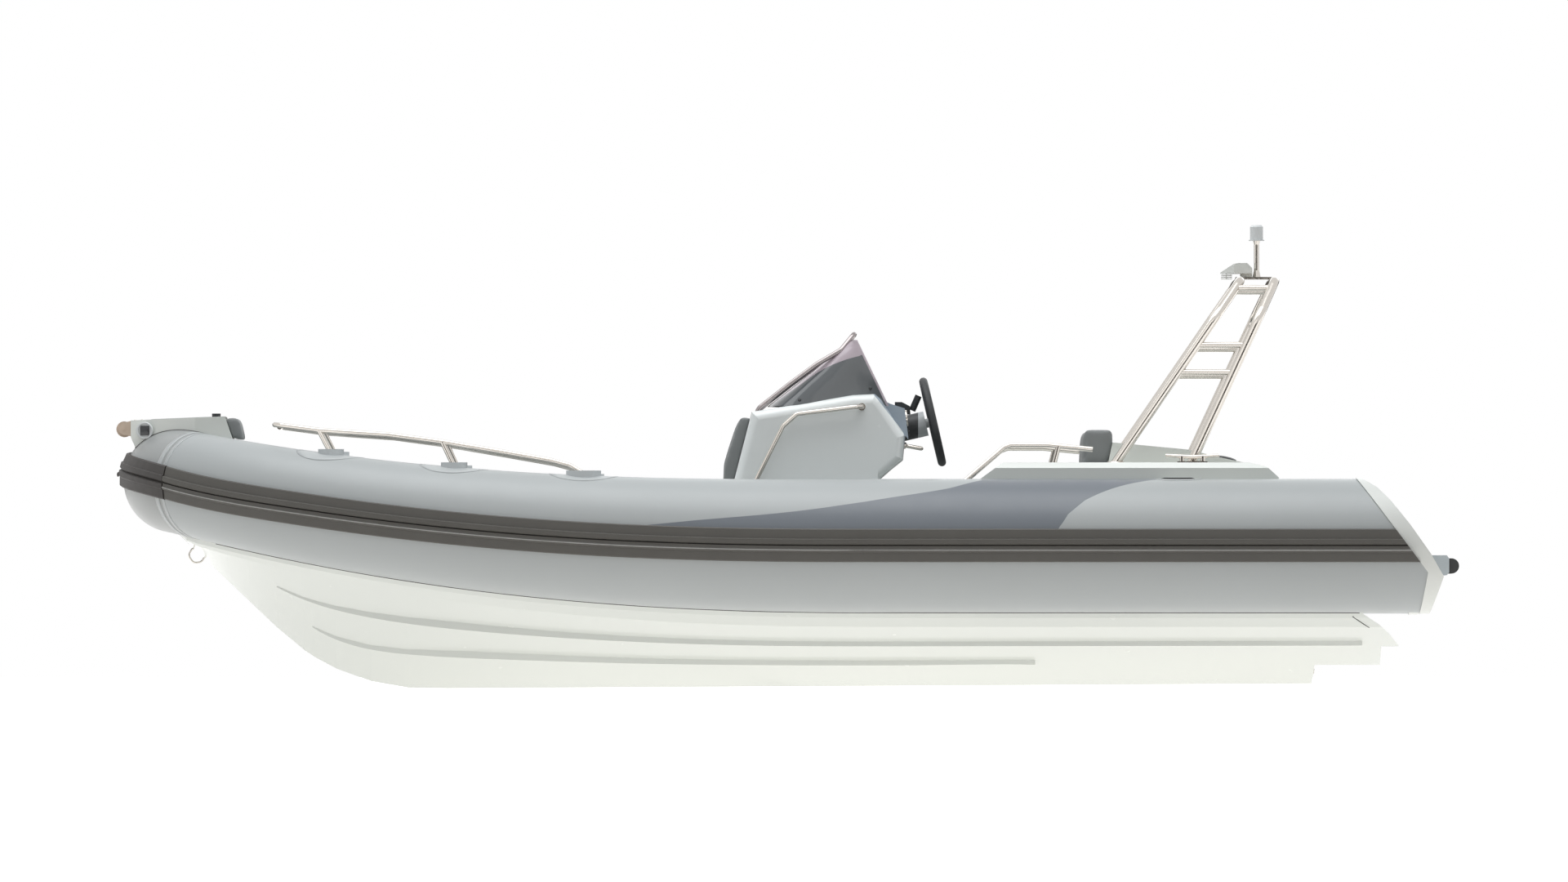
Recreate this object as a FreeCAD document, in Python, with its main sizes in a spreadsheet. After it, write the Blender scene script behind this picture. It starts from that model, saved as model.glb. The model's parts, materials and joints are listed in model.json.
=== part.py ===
# Rigid-hulled inflatable boat of 5.8 m with a helm console, bench, arch and bow rails.
# Frame: +X to the bow, +Y to port, +Z up, and the origin on the centre line at the waterline.
# All lengths are in millimetres and all angles in degrees.
import FreeCAD, Part
import math
import os
import re
import Sketcher

V = FreeCAD.Vector
UP = V(0, 0, 1)

# Driving dimensions: name, number, what it is
SIZES = [
    ("tube_radius", 287, "collar tube, amidships and aft"),
    ("nose_radius", 225, "collar tube at the nose"),
    ("tube_z", 333, "height of the tube centre aft"),
    ("nose_z", 620, "height of the tube centre at the nose"),
    ("half_track", 870, "tube centre from the centre line"),
    ("nose_x", 2645, "tube centre at the nose"),
    ("curve_start_x", 300, "where the tubes begin to close in plan"),
    ("rise_start_x", -300, "where the tubes begin to rise"),
    ("rise_power", 2.4, "how late the rise comes"),
    ("taper_power", 1.5, "how late the taper comes"),
    ("seam_angle", 72, "station of the bow chamber's seam on the plan ellipse"),
    ("seat_gap", 0.4, "clearance of a moulding that hugs the tube"),
    ("flat_gap", 0.3, "clearance between flat or curved neighbours"),
    ("cap_top_x", -2443, "end of the tube fabric at the top"),
    ("cap_knee_x", -2747, "end of the tube fabric at the knee"),
    ("cap_knee_z", 217, "height of that knee"),
    ("cap_foot_x", -2717, "end of the tube fabric at the bottom"),
    ("cap_reach", 68, "how far the end cap stands out at its knee"),
    ("cap_overlap", 5, "how far the end cap stands proud of the tube"),
    ("band_half_width", 72, "rub rail, half its height on the tube"),
    ("band_thickness", 14, "rub rail, flat bands"),
    ("ridge_height", 24, "rub rail, middle ridge"),
    ("band_lift", 12.5, "how far the rub rail turns up at the nose"),
    ("guard_angle", 70.5, "station where the nose guard meets the rub rail"),
    ("keel_z", -280, "lowest point of the keel"),
    ("keel_aft_z", -258, "keel at the stern"),
    ("forefoot_x", 1560, "where the keel begins to rise"),
    ("forefoot_radius", 920, "curve of the forefoot"),
    ("stem_angle", 43.5, "slope of the stem above the forefoot"),
    ("chine_share", 0.8, "chine beam as a share of the tube track"),
    ("chine_drop", 22, "chine below the bottom of the tube"),
    ("chine_flat", 50, "width of the turned-down chine"),
    ("chine_fall", 39, "fall of the turned-down chine"),
    ("strake_width", 46, "spray strake"),
    ("stern_x", -2480, "aft face of the transom"),
    ("transom_thickness", 50, "transom"),
    ("transom_top_z", 400, "engine cut-out of the transom"),
    ("transom_side_z", 500, "transom beside the cut-out"),
    ("cutout_half_width", 300, "engine cut-out"),
    ("motor_bolt_upper", 327, "spacing of the upper engine bolts"),
    ("motor_bolt_lower", 248, "spacing of the lower engine bolts"),
    ("motor_bolt_drop", 203, "lower bolts below the upper ones"),
    ("motor_bolt_edge", 52, "upper bolts below the cut-out"),
    ("motor_bolt_hole", 13, "engine bolt holes"),
    ("wing_end_x", -2642, "aft end of the hull's wings"),
    ("wing_bottom_z", -98, "underside of the wings"),
    ("tail_end_x", -2565, "aft end of the bottom"),
    ("step_x", -2266, "notch of the keel ahead of the propeller"),
    ("step_z", -178, "bottom aft of that notch"),
    ("deck_top_z", 90, "cockpit floor"),
    ("deck_thickness", 20, "cockpit floor"),
    ("deck_inset", 266, "floor edge inside the tube centre"),
    ("ledge_share", 0.5, "hull ledge below the tube centre, as a share of the tube radius"),
    ("locker_aft_x", 1350, "bow locker, aft face"),
    ("locker_front_x", 2100, "bow locker, forward end"),
    ("locker_bottom_z", 150, "bow locker, underside"),
    ("locker_top_z", 470, "bow locker, rim"),
    ("lid_thickness", 20, "locker lids"),
    ("bow_lid_length", 680, "bow locker lid"),
    ("bow_lid_inset", 288, "bow locker lid inside the tube centre"),
    ("cushion_thickness", 70, "seat cushions"),
    ("platform_length", 411, "bow platform"),
    ("platform_tip_x", 2838, "bow platform"),
    ("platform_top_z", 890, "bow platform"),
    ("platform_half_width", 205, "bow platform, aft"),
    ("platform_tip_half_width", 62, "bow platform, tip"),
    ("roller_radius", 34, "bow roller"),
    ("roller_width", 60, "bow roller"),
    ("roller_x", 2867, "bow roller axle"),
    ("roller_z", 842, "bow roller axle"),
    ("roller_pin", 12, "bow roller axle, diameter"),
    ("cheek_thickness", 5, "bow roller cheek plates"),
    ("lamp_radius", 35, "bow navigation lamps, bezel"),
    ("rail_tube", 22, "hand rails, diameter"),
    ("rail_bend", 45, "hand rails, bend radius"),
    ("console_half_width", 310, "console"),
    ("console_round", 40, "console edges"),
    ("screen_thickness", 6, "windshield"),
    ("screen_half_width", 292, "windshield at its foot"),
    ("screen_foot_z", 925, "foot of the windshield's front edge"),
    ("screen_foot_x", 144, "foot of the windshield's front edge"),
    ("screen_tip_z", 1261, "top of the rail round the windshield"),
    ("screen_tip_x", -286, "top of the rail round the windshield"),
    ("wheel_radius", 179, "steering wheel, rim centre"),
    ("wheel_rim", 36, "steering wheel, rim thickness"),
    ("wheel_x", -633, "steering wheel centre"),
    ("wheel_z", 874, "steering wheel centre"),
    ("wheel_lean", 13, "steering wheel, lean of its axis"),
    ("helm_radius", 54, "helm unit"),
    ("dash_half_width", 240, "dash pod"),
    ("seat_half_width", 300, "front seat"),
    ("seat_front_x", 700, "front seat"),
    ("seat_aft_x", 262, "front seat"),
    ("seat_rim_z", 430, "rims of the seat lockers"),
    ("locker_wall", 40, "walls of the seat lockers"),
    ("bench_front_x", -830, "stern bench"),
    ("bench_back_x", -1330, "stern bench, foot of the backrest"),
    ("stern_deck_x", -2116, "aft end of the stern moulding"),
    ("coaming_inner_inset", 310, "side coaming, cockpit side inside the tube centre"),
    ("coaming_outer_inset", 90, "side coaming, tube side inside the tube centre"),
    ("coaming_top_z", 692, "side coaming"),
    ("arch_tube", 40, "arch, diameter"),
    ("arch_bend", 95, "arch, bend radius"),
    ("arch_foot_inset", 110, "arch feet inside the coaming's tube side"),
    ("arch_lean", 25, "how far the arch leans in up to its shoulders"),
    ("arch_shoulder_z", 1325, "arch shoulders"),
    ("arch_top_y", 470, "ends of the arch's top bars"),
    ("arch_top_z", 1477, "arch's top bars"),
    ("arch_rung", 25, "arch rungs, diameter"),
    ("arch_front_foot_x", -1417, "arch front leg"),
    ("arch_front_top_x", -1955, "arch front leg"),
    ("arch_rear_foot_x", -1747, "arch rear leg"),
    ("arch_rear_top_x", -2105, "arch rear leg"),
    ("light_half_width", 84, "deck light"),
    ("light_front_x", -1877, "deck light, its front edge"),
    ("light_length", 139, "deck light"),
    ("light_height", 45, "deck light's housing"),
    ("pole_x", -2036, "light pole"),
    ("pole_diameter", 23, "light pole"),
    ("pole_length", 158, "light pole"),
    ("globe_radius", 28, "all-round light"),
    ("globe_height", 68, "all-round light"),
    ("ladder_x", -2836, "ladder hinge"),
    ("ladder_z", 250, "ladder hinge"),
    ("ladder_inner_inset", 518, "ladder rail near the engine, inside the tube centre"),
    ("ladder_outer_inset", 342, "ladder rail near the tube, inside the tube centre"),
    ("ladder_tube", 32, "ladder rails"),
    ("ladder_length", 325, "ladder rails"),
    ("ladder_pin", 12, "ladder hinge pin, diameter"),
    ("ladder_knuckle", 36, "radius of the ladder's end round its hinge"),
    ("ladder_nose", 28, "how far that end stands out behind the hinge"),
    ("step_top_z", 205, "swim steps"),
    ("step_reach", 298, "swim steps, how far they stand out behind the transom"),
    ("backrest_foot", 79, "stern backrest, depth at its foot"),
    ("backrest_head", 60, "stern backrest, depth at its top"),
    ("backrest_top_z", 847, "stern backrest, top"),
    ("lid_clearance", 7, "room round a lid that swings"),
    ("locker_rim", 30, "rim under a lid's edge"),
    ("hinge_out", 10, "lid hinges, axis ahead of the locker's face"),
    ("hinge_radius", 7, "lid hinges, knuckles"),
    ("hinge_pin", 6, "lid hinges, pin diameter"),
    ("hinge_play", 0.6, "lid hinges, play round the pin"),
    ("hinge_length", 64, "lid hinges, whole length"),
    ("hinge_leaf", 3.5, "lid hinges, thickness of the leaves"),
]

# Sizes worked out from those above
WORKED_OUT = [
    ("platform_aft_x", "platform_tip_x - platform_length", "aft edge of the bow platform"),
    ("coaming_inner_y", "half_track - coaming_inner_inset", "side coaming, cockpit side"),
    ("coaming_outer_y", "half_track - coaming_outer_inset", "side coaming, tube side"),
    ("arch_foot_y", "coaming_outer_y - arch_foot_inset", "arch feet"),
    ("arch_shoulder_y", "arch_foot_y - arch_lean", "arch shoulders"),
    ("cleat_y", "coaming_outer_y - 60", "stern cleats"),
    ("stern_rail_y", "coaming_outer_y - 45", "hand rails beside the bench"),
    ("ladder_inner_y", "half_track - ladder_inner_inset", "ladder rail near the engine"),
    ("ladder_outer_y", "half_track - ladder_outer_inset", "ladder rail near the tube"),
    ("step_end_x", "stern_x - step_reach", "aft end of the swim steps"),
    ("ledge_z", "tube_z - ledge_share * tube_radius + flat_gap", "height of the hull's ledge"),
    ("lid_aft_x", "bench_back_x + backrest_foot + lid_clearance", "aft edge of the bench lid"),
    ("lid_top_z", "seat_rim_z + flat_gap + lid_thickness", "top of the seat lids"),
]

doc = FreeCAD.newDocument("Boat")
sheet = doc.addObject("Spreadsheet::Sheet", "Sizes")
for row, (alias, number, note) in enumerate(SIZES + WORKED_OUT, start=1):
    sheet.set("A%d" % row, note)
    sheet.set("B%d" % row, "=%s" % number)
    sheet.setAlias("B%d" % row, alias)
doc.recompute()
ALIASES = {alias for alias, number, note in SIZES + WORKED_OUT}
PIECES = {}


def bound(text):
    """A formula with the sheet's name before each of its sizes."""
    return re.sub(r"[a-z][a-z_]*", lambda word: "Sizes." + word[0] if word[0] in ALIASES else word[0],
                  str(text))


def val(text):
    """The number that a formula of sizes gives."""
    return float(sheet.evalExpression(bound(text)))


def deliver(label, piece):
    """Name a finished piece and put it on the list of files."""
    piece.Label = label
    PIECES[label] = piece
    return piece


def shaped(label, shape):
    """A piece whose form comes from the functions of its own section."""
    piece = doc.addObject("Part::Feature", label)
    piece.Shape = shape
    return piece


# Sketches and prisms

def plane(body, role):
    return [item for item in body.Origin.OriginFeatures if item.Role == role][0]


def outline(body, role, corners):
    """A closed outline whose corners are formulas of the sheet."""
    sketch = body.newObject("Sketcher::SketchObject", body.Name + "_outline")
    sketch.AttachmentSupport = [(plane(body, role), "")]
    sketch.MapMode = "FlatFace"
    places = [V(val(x), val(y), 0) for x, y in corners]
    count = len(corners)
    for index in range(count):
        sketch.addGeometry(Part.LineSegment(places[index], places[(index + 1) % count]))
    for index in range(count):
        sketch.addConstraint(Sketcher.Constraint("Coincident", index, 2, (index + 1) % count, 1))
    for index, formulas in enumerate(corners):
        for kind, formula in zip(("DistanceX", "DistanceY"), formulas):
            here = sketch.addConstraint(Sketcher.Constraint(kind, -1, 1, index, 1, val(formula)))
            sketch.setExpression("Constraints[%d]" % here, bound(formula))
    return sketch


def prism(name, role, corners, low, high):
    """A prism over an outline, between two distances along the plane's normal."""
    body = doc.addObject("PartDesign::Body", name)
    sketch = outline(body, role, corners)
    sketch.setExpression(".AttachmentOffset.Base.z", bound(low))
    pad = body.newObject("PartDesign::Pad", name + "_pad")
    pad.Profile = sketch
    pad.setExpression("Length", bound("(%s) - (%s)" % (high, low)))
    body.Tip = pad
    return body


def across(name, corners, half_width):
    """A side outline in X and Z, as wide to port as to starboard."""
    return prism(name, "XZ_Plane", corners, "-(%s)" % half_width, half_width)


def rounded(body, radius, keep):
    """Round those edges of the body's last feature that the test keeps."""
    doc.recompute()
    base = body.Tip
    edges = ["Edge%d" % (place + 1) for place, edge in enumerate(base.Shape.Edges) if keep(edge)]
    fillet = body.newObject("PartDesign::Fillet", body.Name + "_round")
    fillet.Base = (base, edges)
    fillet.setExpression("Radius", bound(radius))
    body.Tip = fillet
    return body


def runs_along(edge, axis):
    """Whether a straight edge is parallel to an axis."""
    ends = edge.Vertexes
    if len(ends) < 2:
        return False
    way = ends[1].Point - ends[0].Point
    return way.Length > 1 and abs(abs(way.normalize().dot(axis)) - 1) < 1e-4


def cut(name, base, tool):
    made = doc.addObject("Part::Cut", name)
    made.Base = base
    made.Tool = tool
    return made


def fuse(name, items):
    made = doc.addObject("Part::MultiFuse", name)
    made.Shapes = items
    return made


def common(name, base, tool):
    made = doc.addObject("Part::Common", name)
    made.Base = base
    made.Tool = tool
    return made


def pair(name, source):
    """A piece and its mirror image on the other side of the boat."""
    image = doc.addObject("Part::Mirroring", name + "_starboard")
    image.Source = source
    image.Normal = V(0, 1, 0)
    both = doc.addObject("Part::Compound", name)
    both.Links = [source, image]
    return both


def cylinder(name, radius, height, place, direction):
    """A round bar from a place, along a direction."""
    bar = doc.addObject("Part::Cylinder", name)
    bar.setExpression("Radius", bound(radius))
    bar.setExpression("Height", bound(height))
    for axis, formula in zip("xyz", place):
        bar.setExpression(".Placement.Base." + axis, bound(formula))
    bar.Placement.Rotation = FreeCAD.Rotation(UP, direction)
    return bar


def box(name, low, high):
    """A block between two corners, given as formulas."""
    block = doc.addObject("Part::Box", name)
    for axis, side, start, end in zip("xyz", ("Length", "Width", "Height"), low, high):
        block.setExpression(side, bound("(%s) - (%s)" % (end, start)))
        block.setExpression(".Placement.Base." + axis, bound(start))
    return block


def bent_tube(points, diameter, bend):
    """A round tube along straight runs, joined by tangent arcs."""
    edges = []
    start = points[0]
    for before, corner, after in zip(points, points[1:], points[2:]):
        back = (before - corner).normalize()
        ahead = (after - corner).normalize()
        half = back.getAngle(ahead) / 2
        run = min((before - corner).Length, (after - corner).Length)
        reach = min(bend / math.tan(half), 0.45 * run)
        turn = reach * math.tan(half)
        middle = (back + ahead).normalize()
        centre = corner + middle * (turn / math.sin(half))
        first = corner + back * reach
        last = corner + ahead * reach
        edges.append(Part.LineSegment(start, first).toShape())
        edges.append(Part.Arc(first, centre - middle * turn, last).toShape())
        start = last
    edges.append(Part.LineSegment(start, points[-1]).toShape())
    path = Part.Wire(edges)
    ring = Part.Wire(Part.Circle(points[0], points[1] - points[0], diameter / 2).toShape())
    return path.makePipeShell([ring], True, False)


def hinge_halves(face_x, way, level, centres):
    """The fixed and the moving halves of a lid's hinges, on a face that looks along way (1 or -1)."""
    radius = val("hinge_radius")
    pin = val("hinge_pin / 2")
    half = val("hinge_length / 2")
    knuckle = half / 2
    leaf = val("hinge_leaf")
    axis_x = face_x + way * val("hinge_out")

    def block(x_one, x_two, low, high, z_low, z_high):
        return Part.makeBox(abs(x_two - x_one), high - low, z_high - z_low, V(min(x_one, x_two), low, z_low))

    fixed, moving = [], []
    for centre in centres:
        fixed.append(Part.makeCylinder(pin, 2 * half, V(axis_x, centre - half, level), V(0, 1, 0)))
        for low in (centre - half, centre + half - knuckle):
            fixed.append(Part.makeCylinder(radius, knuckle, V(axis_x, low, level), V(0, 1, 0)))
            fixed.append(block(face_x, axis_x - way * (radius - 1.5), low, low + knuckle, level - 38, level))
        low, high = centre - knuckle + 0.5, centre + knuckle - 0.5
        middle = Part.makeCylinder(radius, high - low, V(axis_x, low, level), V(0, 1, 0))
        top = level + radius
        middle = middle.fuse(block(face_x - way * 8, axis_x, low, high, top - leaf, top))
        bore = Part.makeCylinder(pin + val("hinge_play"), high - low + 10, V(axis_x, low - 5, level),
                                 V(0, 1, 0))
        moving.append(middle.cut(bore))
    return fixed, moving


def with_hinges(name, item, halves):
    """A locker or lid with its halves of the hinges fused on."""
    doc.recompute()
    return shaped(name, item.Shape.fuse(halves).removeSplitter())


# The collar: its centre line in plan is straight aft and a quarter ellipse forward,
# while it rises and tapers towards the nose

def rise(x):
    start = val("rise_start_x")
    return max(0.0, (x - start) / (val("nose_x") - start))


def centre_z(x):
    return val("tube_z") + (val("nose_z") - val("tube_z")) * rise(x) ** val("rise_power")


def radius_at(x):
    return val("tube_radius") - (val("tube_radius") - val("nose_radius")) * rise(x) ** val("taper_power")


def half_beam(x):
    """Distance of the tube centre from the centre line."""
    along = (x - val("curve_start_x")) / (val("nose_x") - val("curve_start_x"))
    if along <= 0:
        return val("half_track")
    return val("half_track") * math.sqrt(max(0.0, 1 - along * along))


def on_ellipse(angle):
    """Tube centre and its direction at a station of the plan ellipse."""
    turn = math.radians(angle)
    reach = val("nose_x") - val("curve_start_x")
    x = val("curve_start_x") + reach * math.sin(turn)
    along = V(reach * math.cos(turn), -val("half_track") * math.sin(turn), 0).normalize()
    return V(x, val("half_track") * math.cos(turn), centre_z(x)), along


def stations(first, last, step):
    """Places along the port tube between two stations of the ellipse."""
    count = max(1, round((last - first) / step))
    return [on_ellipse(first + (last - first) * index / count) for index in range(count + 1)]


def straight_stations(start_x):
    """Places from a point aft to the start of the ellipse."""
    end = val("curve_start_x")
    return [(V(x, val("half_track"), centre_z(x)), V(1, 0, 0))
            for x in (start_x, start_x + (end - start_x) / 2)]


def ring(centre, along, radius):
    edge = Part.Circle(V(0, 0, 0), V(0, 0, 1), radius).toShape()
    edge.Placement = FreeCAD.Placement(centre, FreeCAD.Rotation(UP, V(0, 0, 0), along, "ZXY"))
    return Part.Wire(edge)


def tube_length(places, grow):
    rings = [ring(centre, along, radius_at(centre.x) + grow) for centre, along in places]
    return Part.makeLoft(rings, True)


def mirror_y(shape):
    return shape.mirror(V(0, 0, 0), V(0, 1, 0))


def side_tube(grow):
    """Port chamber: a straight cylinder aft, then the curved length to the seam."""
    start = val("rise_start_x")
    aft = val("wing_end_x") - 300
    straight = Part.makeCylinder(val("tube_radius") + grow, start - aft,
                                 V(aft, val("half_track"), val("tube_z")), V(1, 0, 0))
    curved = tube_length(straight_stations(start) + stations(0, val("seam_angle"), 9), grow)
    return straight.fuse(curved)


def bow_tube(grow):
    port = stations(val("seam_angle"), 90, 6)
    starboard = [(V(centre.x, -centre.y, centre.z), V(-along.x, along.y, 0))
                 for centre, along in reversed(port[:-1])]
    return tube_length(port + starboard, grow)


COLLAR = [side_tube(val("seat_gap")), mirror_y(side_tube(val("seat_gap"))), bow_tube(val("seat_gap"))]


def clear_of_collar(shape):
    for chamber in COLLAR:
        shape = shape.cut(chamber)
    return shape


def seated(name, item):
    """A moulding that follows the tubes wherever it meets them."""
    doc.recompute()
    return shaped(name, clear_of_collar(item.Shape))


def prism_y(corners, low, high):
    """A side outline in X and Z between two distances from the centre line."""
    wire = Part.makePolygon([V(x, low, z) for x, z in corners + corners[:1]])
    return Part.Face(wire).extrude(V(0, high - low, 0))


# The fabric ends on two slanting planes, under a moulded cap
top_x, knee_x, foot_x = val("cap_top_x"), val("cap_knee_x"), val("cap_foot_x")
knee_z = val("cap_knee_z")
tube_top = val("tube_z + tube_radius")
tube_bottom = val("tube_z - tube_radius")
upper_slope = (top_x - knee_x) / (tube_top + 6 - knee_z)
lower_slope = (foot_x - knee_x) / (knee_z - tube_bottom)
margin = 60
above = (top_x + upper_slope * margin, tube_top + 6 + margin)
below = (foot_x + lower_slope * margin, tube_bottom - margin)
far_aft = val("wing_end_x") - 400
reach = 2 * val("half_track")
TRIM = prism_y([above, (knee_x, knee_z), below, (far_aft, below[1]), (far_aft, above[1])], -reach, reach)

deliver("tube_port", shaped("tube_port", side_tube(0).cut(TRIM).removeSplitter()))
deliver("tube_starboard", shaped("tube_starboard", mirror_y(side_tube(0).cut(TRIM).removeSplitter())))
deliver("tube_bow", shaped("tube_bow", bow_tube(0)))

cap_reach = val("cap_reach")
cap_outline = [above, (knee_x, knee_z), below,
               (below[0] - cap_reach * 0.5, below[1]), (knee_x - cap_reach, knee_z - 17),
               (knee_x - cap_reach * 0.2, knee_z + 78), (knee_x + 74, knee_z + 203),
               (knee_x + 162, knee_z + 314), (knee_x + 216, knee_z + 368),
               (top_x - 20, tube_top + 6), (top_x + 6, tube_top + 6 + margin)]
cap_round = Part.makeCylinder(val("tube_radius + cap_overlap"), 800,
                              V(far_aft, val("half_track"), val("tube_z")), V(1, 0, 0))
cap = prism_y(cap_outline, 0, reach).common(cap_round)
deliver("end_caps", pair("end_caps", shaped("end_cap_port", cap)))


# Rub rail: a ribbed rubber band that turns up towards the nose

def band_section(place, extra, offsets):
    centre, along = place
    radius = radius_at(centre.x)
    outward = UP.cross(along)
    lift = math.radians(val("band_lift")) * lift_share(centre)
    def at(height, out):
        angle = lift + height / radius
        return centre + (outward * math.cos(angle) + UP * math.sin(angle)) * (radius + out)
    half = val("band_half_width")
    inner = val("flat_gap")
    outer = [at(height * half, out + extra) for height, out in offsets]
    arc = Part.Arc(at(half, inner), at(0, inner), at(-half, inner)).toShape()
    corners = [at(-half, inner)] + outer + [at(half, inner)]
    lines = [Part.LineSegment(one, two).toShape() for one, two in zip(corners, corners[1:])]
    return Part.Wire([arc] + lines)


def lift_share(centre):
    """0 along the sides, growing to 1 at the nose over the last thirty degrees."""
    angle = math.degrees(math.acos(min(1.0, centre.y / val("half_track"))))
    if centre.x <= val("curve_start_x"):
        return 0.0
    return max(0.0, (angle - 60) / 30)


def band(places, extra, offsets):
    return Part.makeLoft([band_section(place, extra, offsets) for place in places], True)


flat = val("band_thickness")
ridge = val("ridge_height")
BAND = [(-0.97, flat - 4), (-0.9, flat), (-0.42, flat), (-0.38, ridge - 4), (-0.27, ridge),
        (-0.17, ridge - 5), (-0.04, ridge - 6), (0.0, flat - 5), (0.04, ridge - 6),
        (0.12, ridge), (0.32, ridge), (0.38, flat), (0.9, flat), (0.97, flat - 4)]
start = val("rise_start_x")
aft_band = band([(V(x, val("half_track"), val("tube_z")), V(1, 0, 0)) for x in (far_aft, start)], 0, BAND)
fore_band = band(straight_stations(start) + stations(0, val("guard_angle"), 8), 0, BAND)
rub_rail = aft_band.cut(TRIM).fuse(fore_band)
deliver("rub_rails", pair("rub_rails", shaped("rub_rail_port", rub_rail)))

GUARD = [(-1.0, flat - 4), (-0.9, flat + 4), (-0.42, flat + 4), (-0.36, ridge), (-0.1, ridge),
         (0.0, flat), (0.1, ridge), (0.36, ridge), (0.42, flat + 4), (0.9, flat + 4), (1.0, flat - 4)]
port_guard = stations(val("guard_angle") + 0.1, 90, 5)
far_guard = [(V(centre.x, -centre.y, centre.z), V(-along.x, along.y, 0))
             for centre, along in reversed(port_guard[:-1])]
deliver("nose_guard", shaped("nose_guard", band(port_guard + far_guard, 0, GUARD)))


# Hull: a deep V whose stem is an arc and a straight line

def keel_at(x):
    start = val("forefoot_x")
    radius = val("forefoot_radius")
    slope = math.radians(val("stem_angle"))
    low = val("keel_z")
    if x <= start:
        return low + (val("keel_aft_z") - low) * (start - x) / (start - val("stern_x"))
    if x <= start + radius * math.sin(slope):
        return low + radius - math.sqrt(radius ** 2 - (x - start) ** 2)
    bend = start + radius * math.sin(slope)
    return low + radius * (1 - math.cos(slope)) + (x - bend) * math.tan(slope)


def hull_points(x):
    """Port half of a section: keel, inner chine, outer chine, and the shoulder under the tube."""
    keel = keel_at(x)
    narrow = half_beam(x) / val("half_track")
    chine_y = half_beam(x) * val("chine_share")
    chine_z = centre_z(x) - radius_at(x) - val("chine_drop")
    inner_z = max(chine_z - val("chine_fall") * narrow, keel + 4)
    outer_z = max(chine_z, inner_z + 6)
    shoulder_y = max(half_beam(x) - 60 * narrow, 12)
    shoulder_z = max(centre_z(x) - val("ledge_share") * radius_at(x), outer_z + 6)
    if x > val("locker_front_x") - 20:
        shoulder_z = val("locker_top_z")
    return [V(x, 0, keel), V(x, max(chine_y - val("chine_flat") * narrow, 6), inner_z),
            V(x, max(chine_y, 9), outer_z), V(x, shoulder_y, shoulder_z)]


def hull_section(x):
    port = hull_points(x)
    starboard = [V(point.x, -point.y, point.z) for point in reversed(port[1:])]
    return Part.makePolygon(port + starboard + port[:1])


stem_end = val("nose_x") - 15
forward = stem_end - val("curve_start_x")
hull_stations = [val("wing_end_x"), val("rise_start_x"), 0]
hull_stations += [val("curve_start_x") + forward * math.sin(math.radians(5 * step)) for step in range(19)]
hull_stations += [val("locker_front_x") - 60, val("locker_front_x") - 15]
hull = Part.makeLoft([hull_section(x) for x in sorted(hull_stations)], True, True)


def strake_section(x, share, width):
    keel, chine = hull_points(x)[:2]
    way = chine - keel
    start = keel + way * share
    uphill = V(0, way.y, way.z).normalize()
    root = start + V(0, -3, 12)
    tip = start + V(0, width, -2)
    top = start + uphill * (width / uphill.y)
    return Part.makePolygon([root, start, tip, top, top + V(0, 0, 12), root])


def strake(first, last, share):
    """A spray strake that narrows over its forward half metre."""
    count = max(2, round((last - first) / 420))
    sections = []
    for index in range(count + 1):
        x = first + (last - first) * index / count
        share_of_width = 1 if x < last - 500 else 0.6 if x < last else 0.1
        sections.append(strake_section(x, share, val("strake_width") * share_of_width))
    return Part.makeLoft(sections, True)


for first, last, share in ((val("stern_x"), 2200, 0.68), (-1073, 2050, 0.36)):
    rib = strake(first, last, share)
    hull = hull.fuse(rib).fuse(mirror_y(rib))


def plan_wire(aft, front, inset, z):
    """A deck outline that keeps its distance from the tube centre lines."""
    curve_start = val("curve_start_x")
    xs = [aft] if aft >= curve_start else [aft, curve_start]
    curved = [max(aft, curve_start) + (front - max(aft, curve_start)) * index / 6 for index in range(7)]
    edges = []
    corner = V(aft, half_beam(aft) - inset, z)
    if aft < curve_start:
        edges.append((corner, V(curve_start, half_beam(curve_start) - inset, z)))
    line = Part.BSplineCurve()
    line.interpolate([V(x, half_beam(x) - inset, z) for x in curved])
    port = [Part.LineSegment(*pair_of).toShape() for pair_of in edges] + [line.toShape()]
    starboard = [mirror_y(edge) for edge in port]
    ends = [Part.LineSegment(V(x, -half_beam(x) + inset, z), V(x, half_beam(x) - inset, z)).toShape()
            for x in (aft, front)]
    return Part.Wire(Part.sortEdges(port + starboard + ends)[0])


def plan_solid(aft, front, inset, low, high):
    return Part.Face(plan_wire(aft, front, inset, low)).extrude(V(0, 0, high - low))


gap = val("flat_gap")
deck_low = val("deck_top_z - deck_thickness")
deck_high = val("deck_top_z")
inset = val("deck_inset")
stern = val("stern_x")
transom_front = val("stern_x + transom_thickness")
locker_aft = val("locker_aft_x")
locker_front = val("locker_front_x")
open_top = 900
hull = hull.cut(plan_solid(stern, locker_aft, inset, deck_low, open_top))
hull = hull.cut(plan_solid(locker_aft - 1, locker_front, inset, val("locker_bottom_z"), open_top))
wing_bottom = val("wing_bottom_z")
hull = hull.cut(prism_y([(stern, open_top), (stern, 41), (stern - 68, -3), (stern - 113, -41),
                         (val("wing_end_x"), wing_bottom), (far_aft, wing_bottom), (far_aft, open_top)],
                        -reach, reach))
hull = hull.cut(prism_y([(far_aft, wing_bottom), (val("tail_end_x"), wing_bottom),
                         (val("tail_end_x") + 4, -500), (far_aft, -500)], -reach, reach))
hull = hull.cut(prism_y([(stern + 2, open_top), (stern, wing_bottom), (far_aft, wing_bottom),
                         (far_aft, open_top)], -250, 250))
step_x = val("step_x")
step_z = val("step_z")
hull = hull.cut(prism_y([(step_x + 16, -500), (step_x - 16, step_z), (far_aft, step_z), (far_aft, -500)],
                        -reach, reach))
deliver("hull", shaped("hull", clear_of_collar(hull)))

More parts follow.
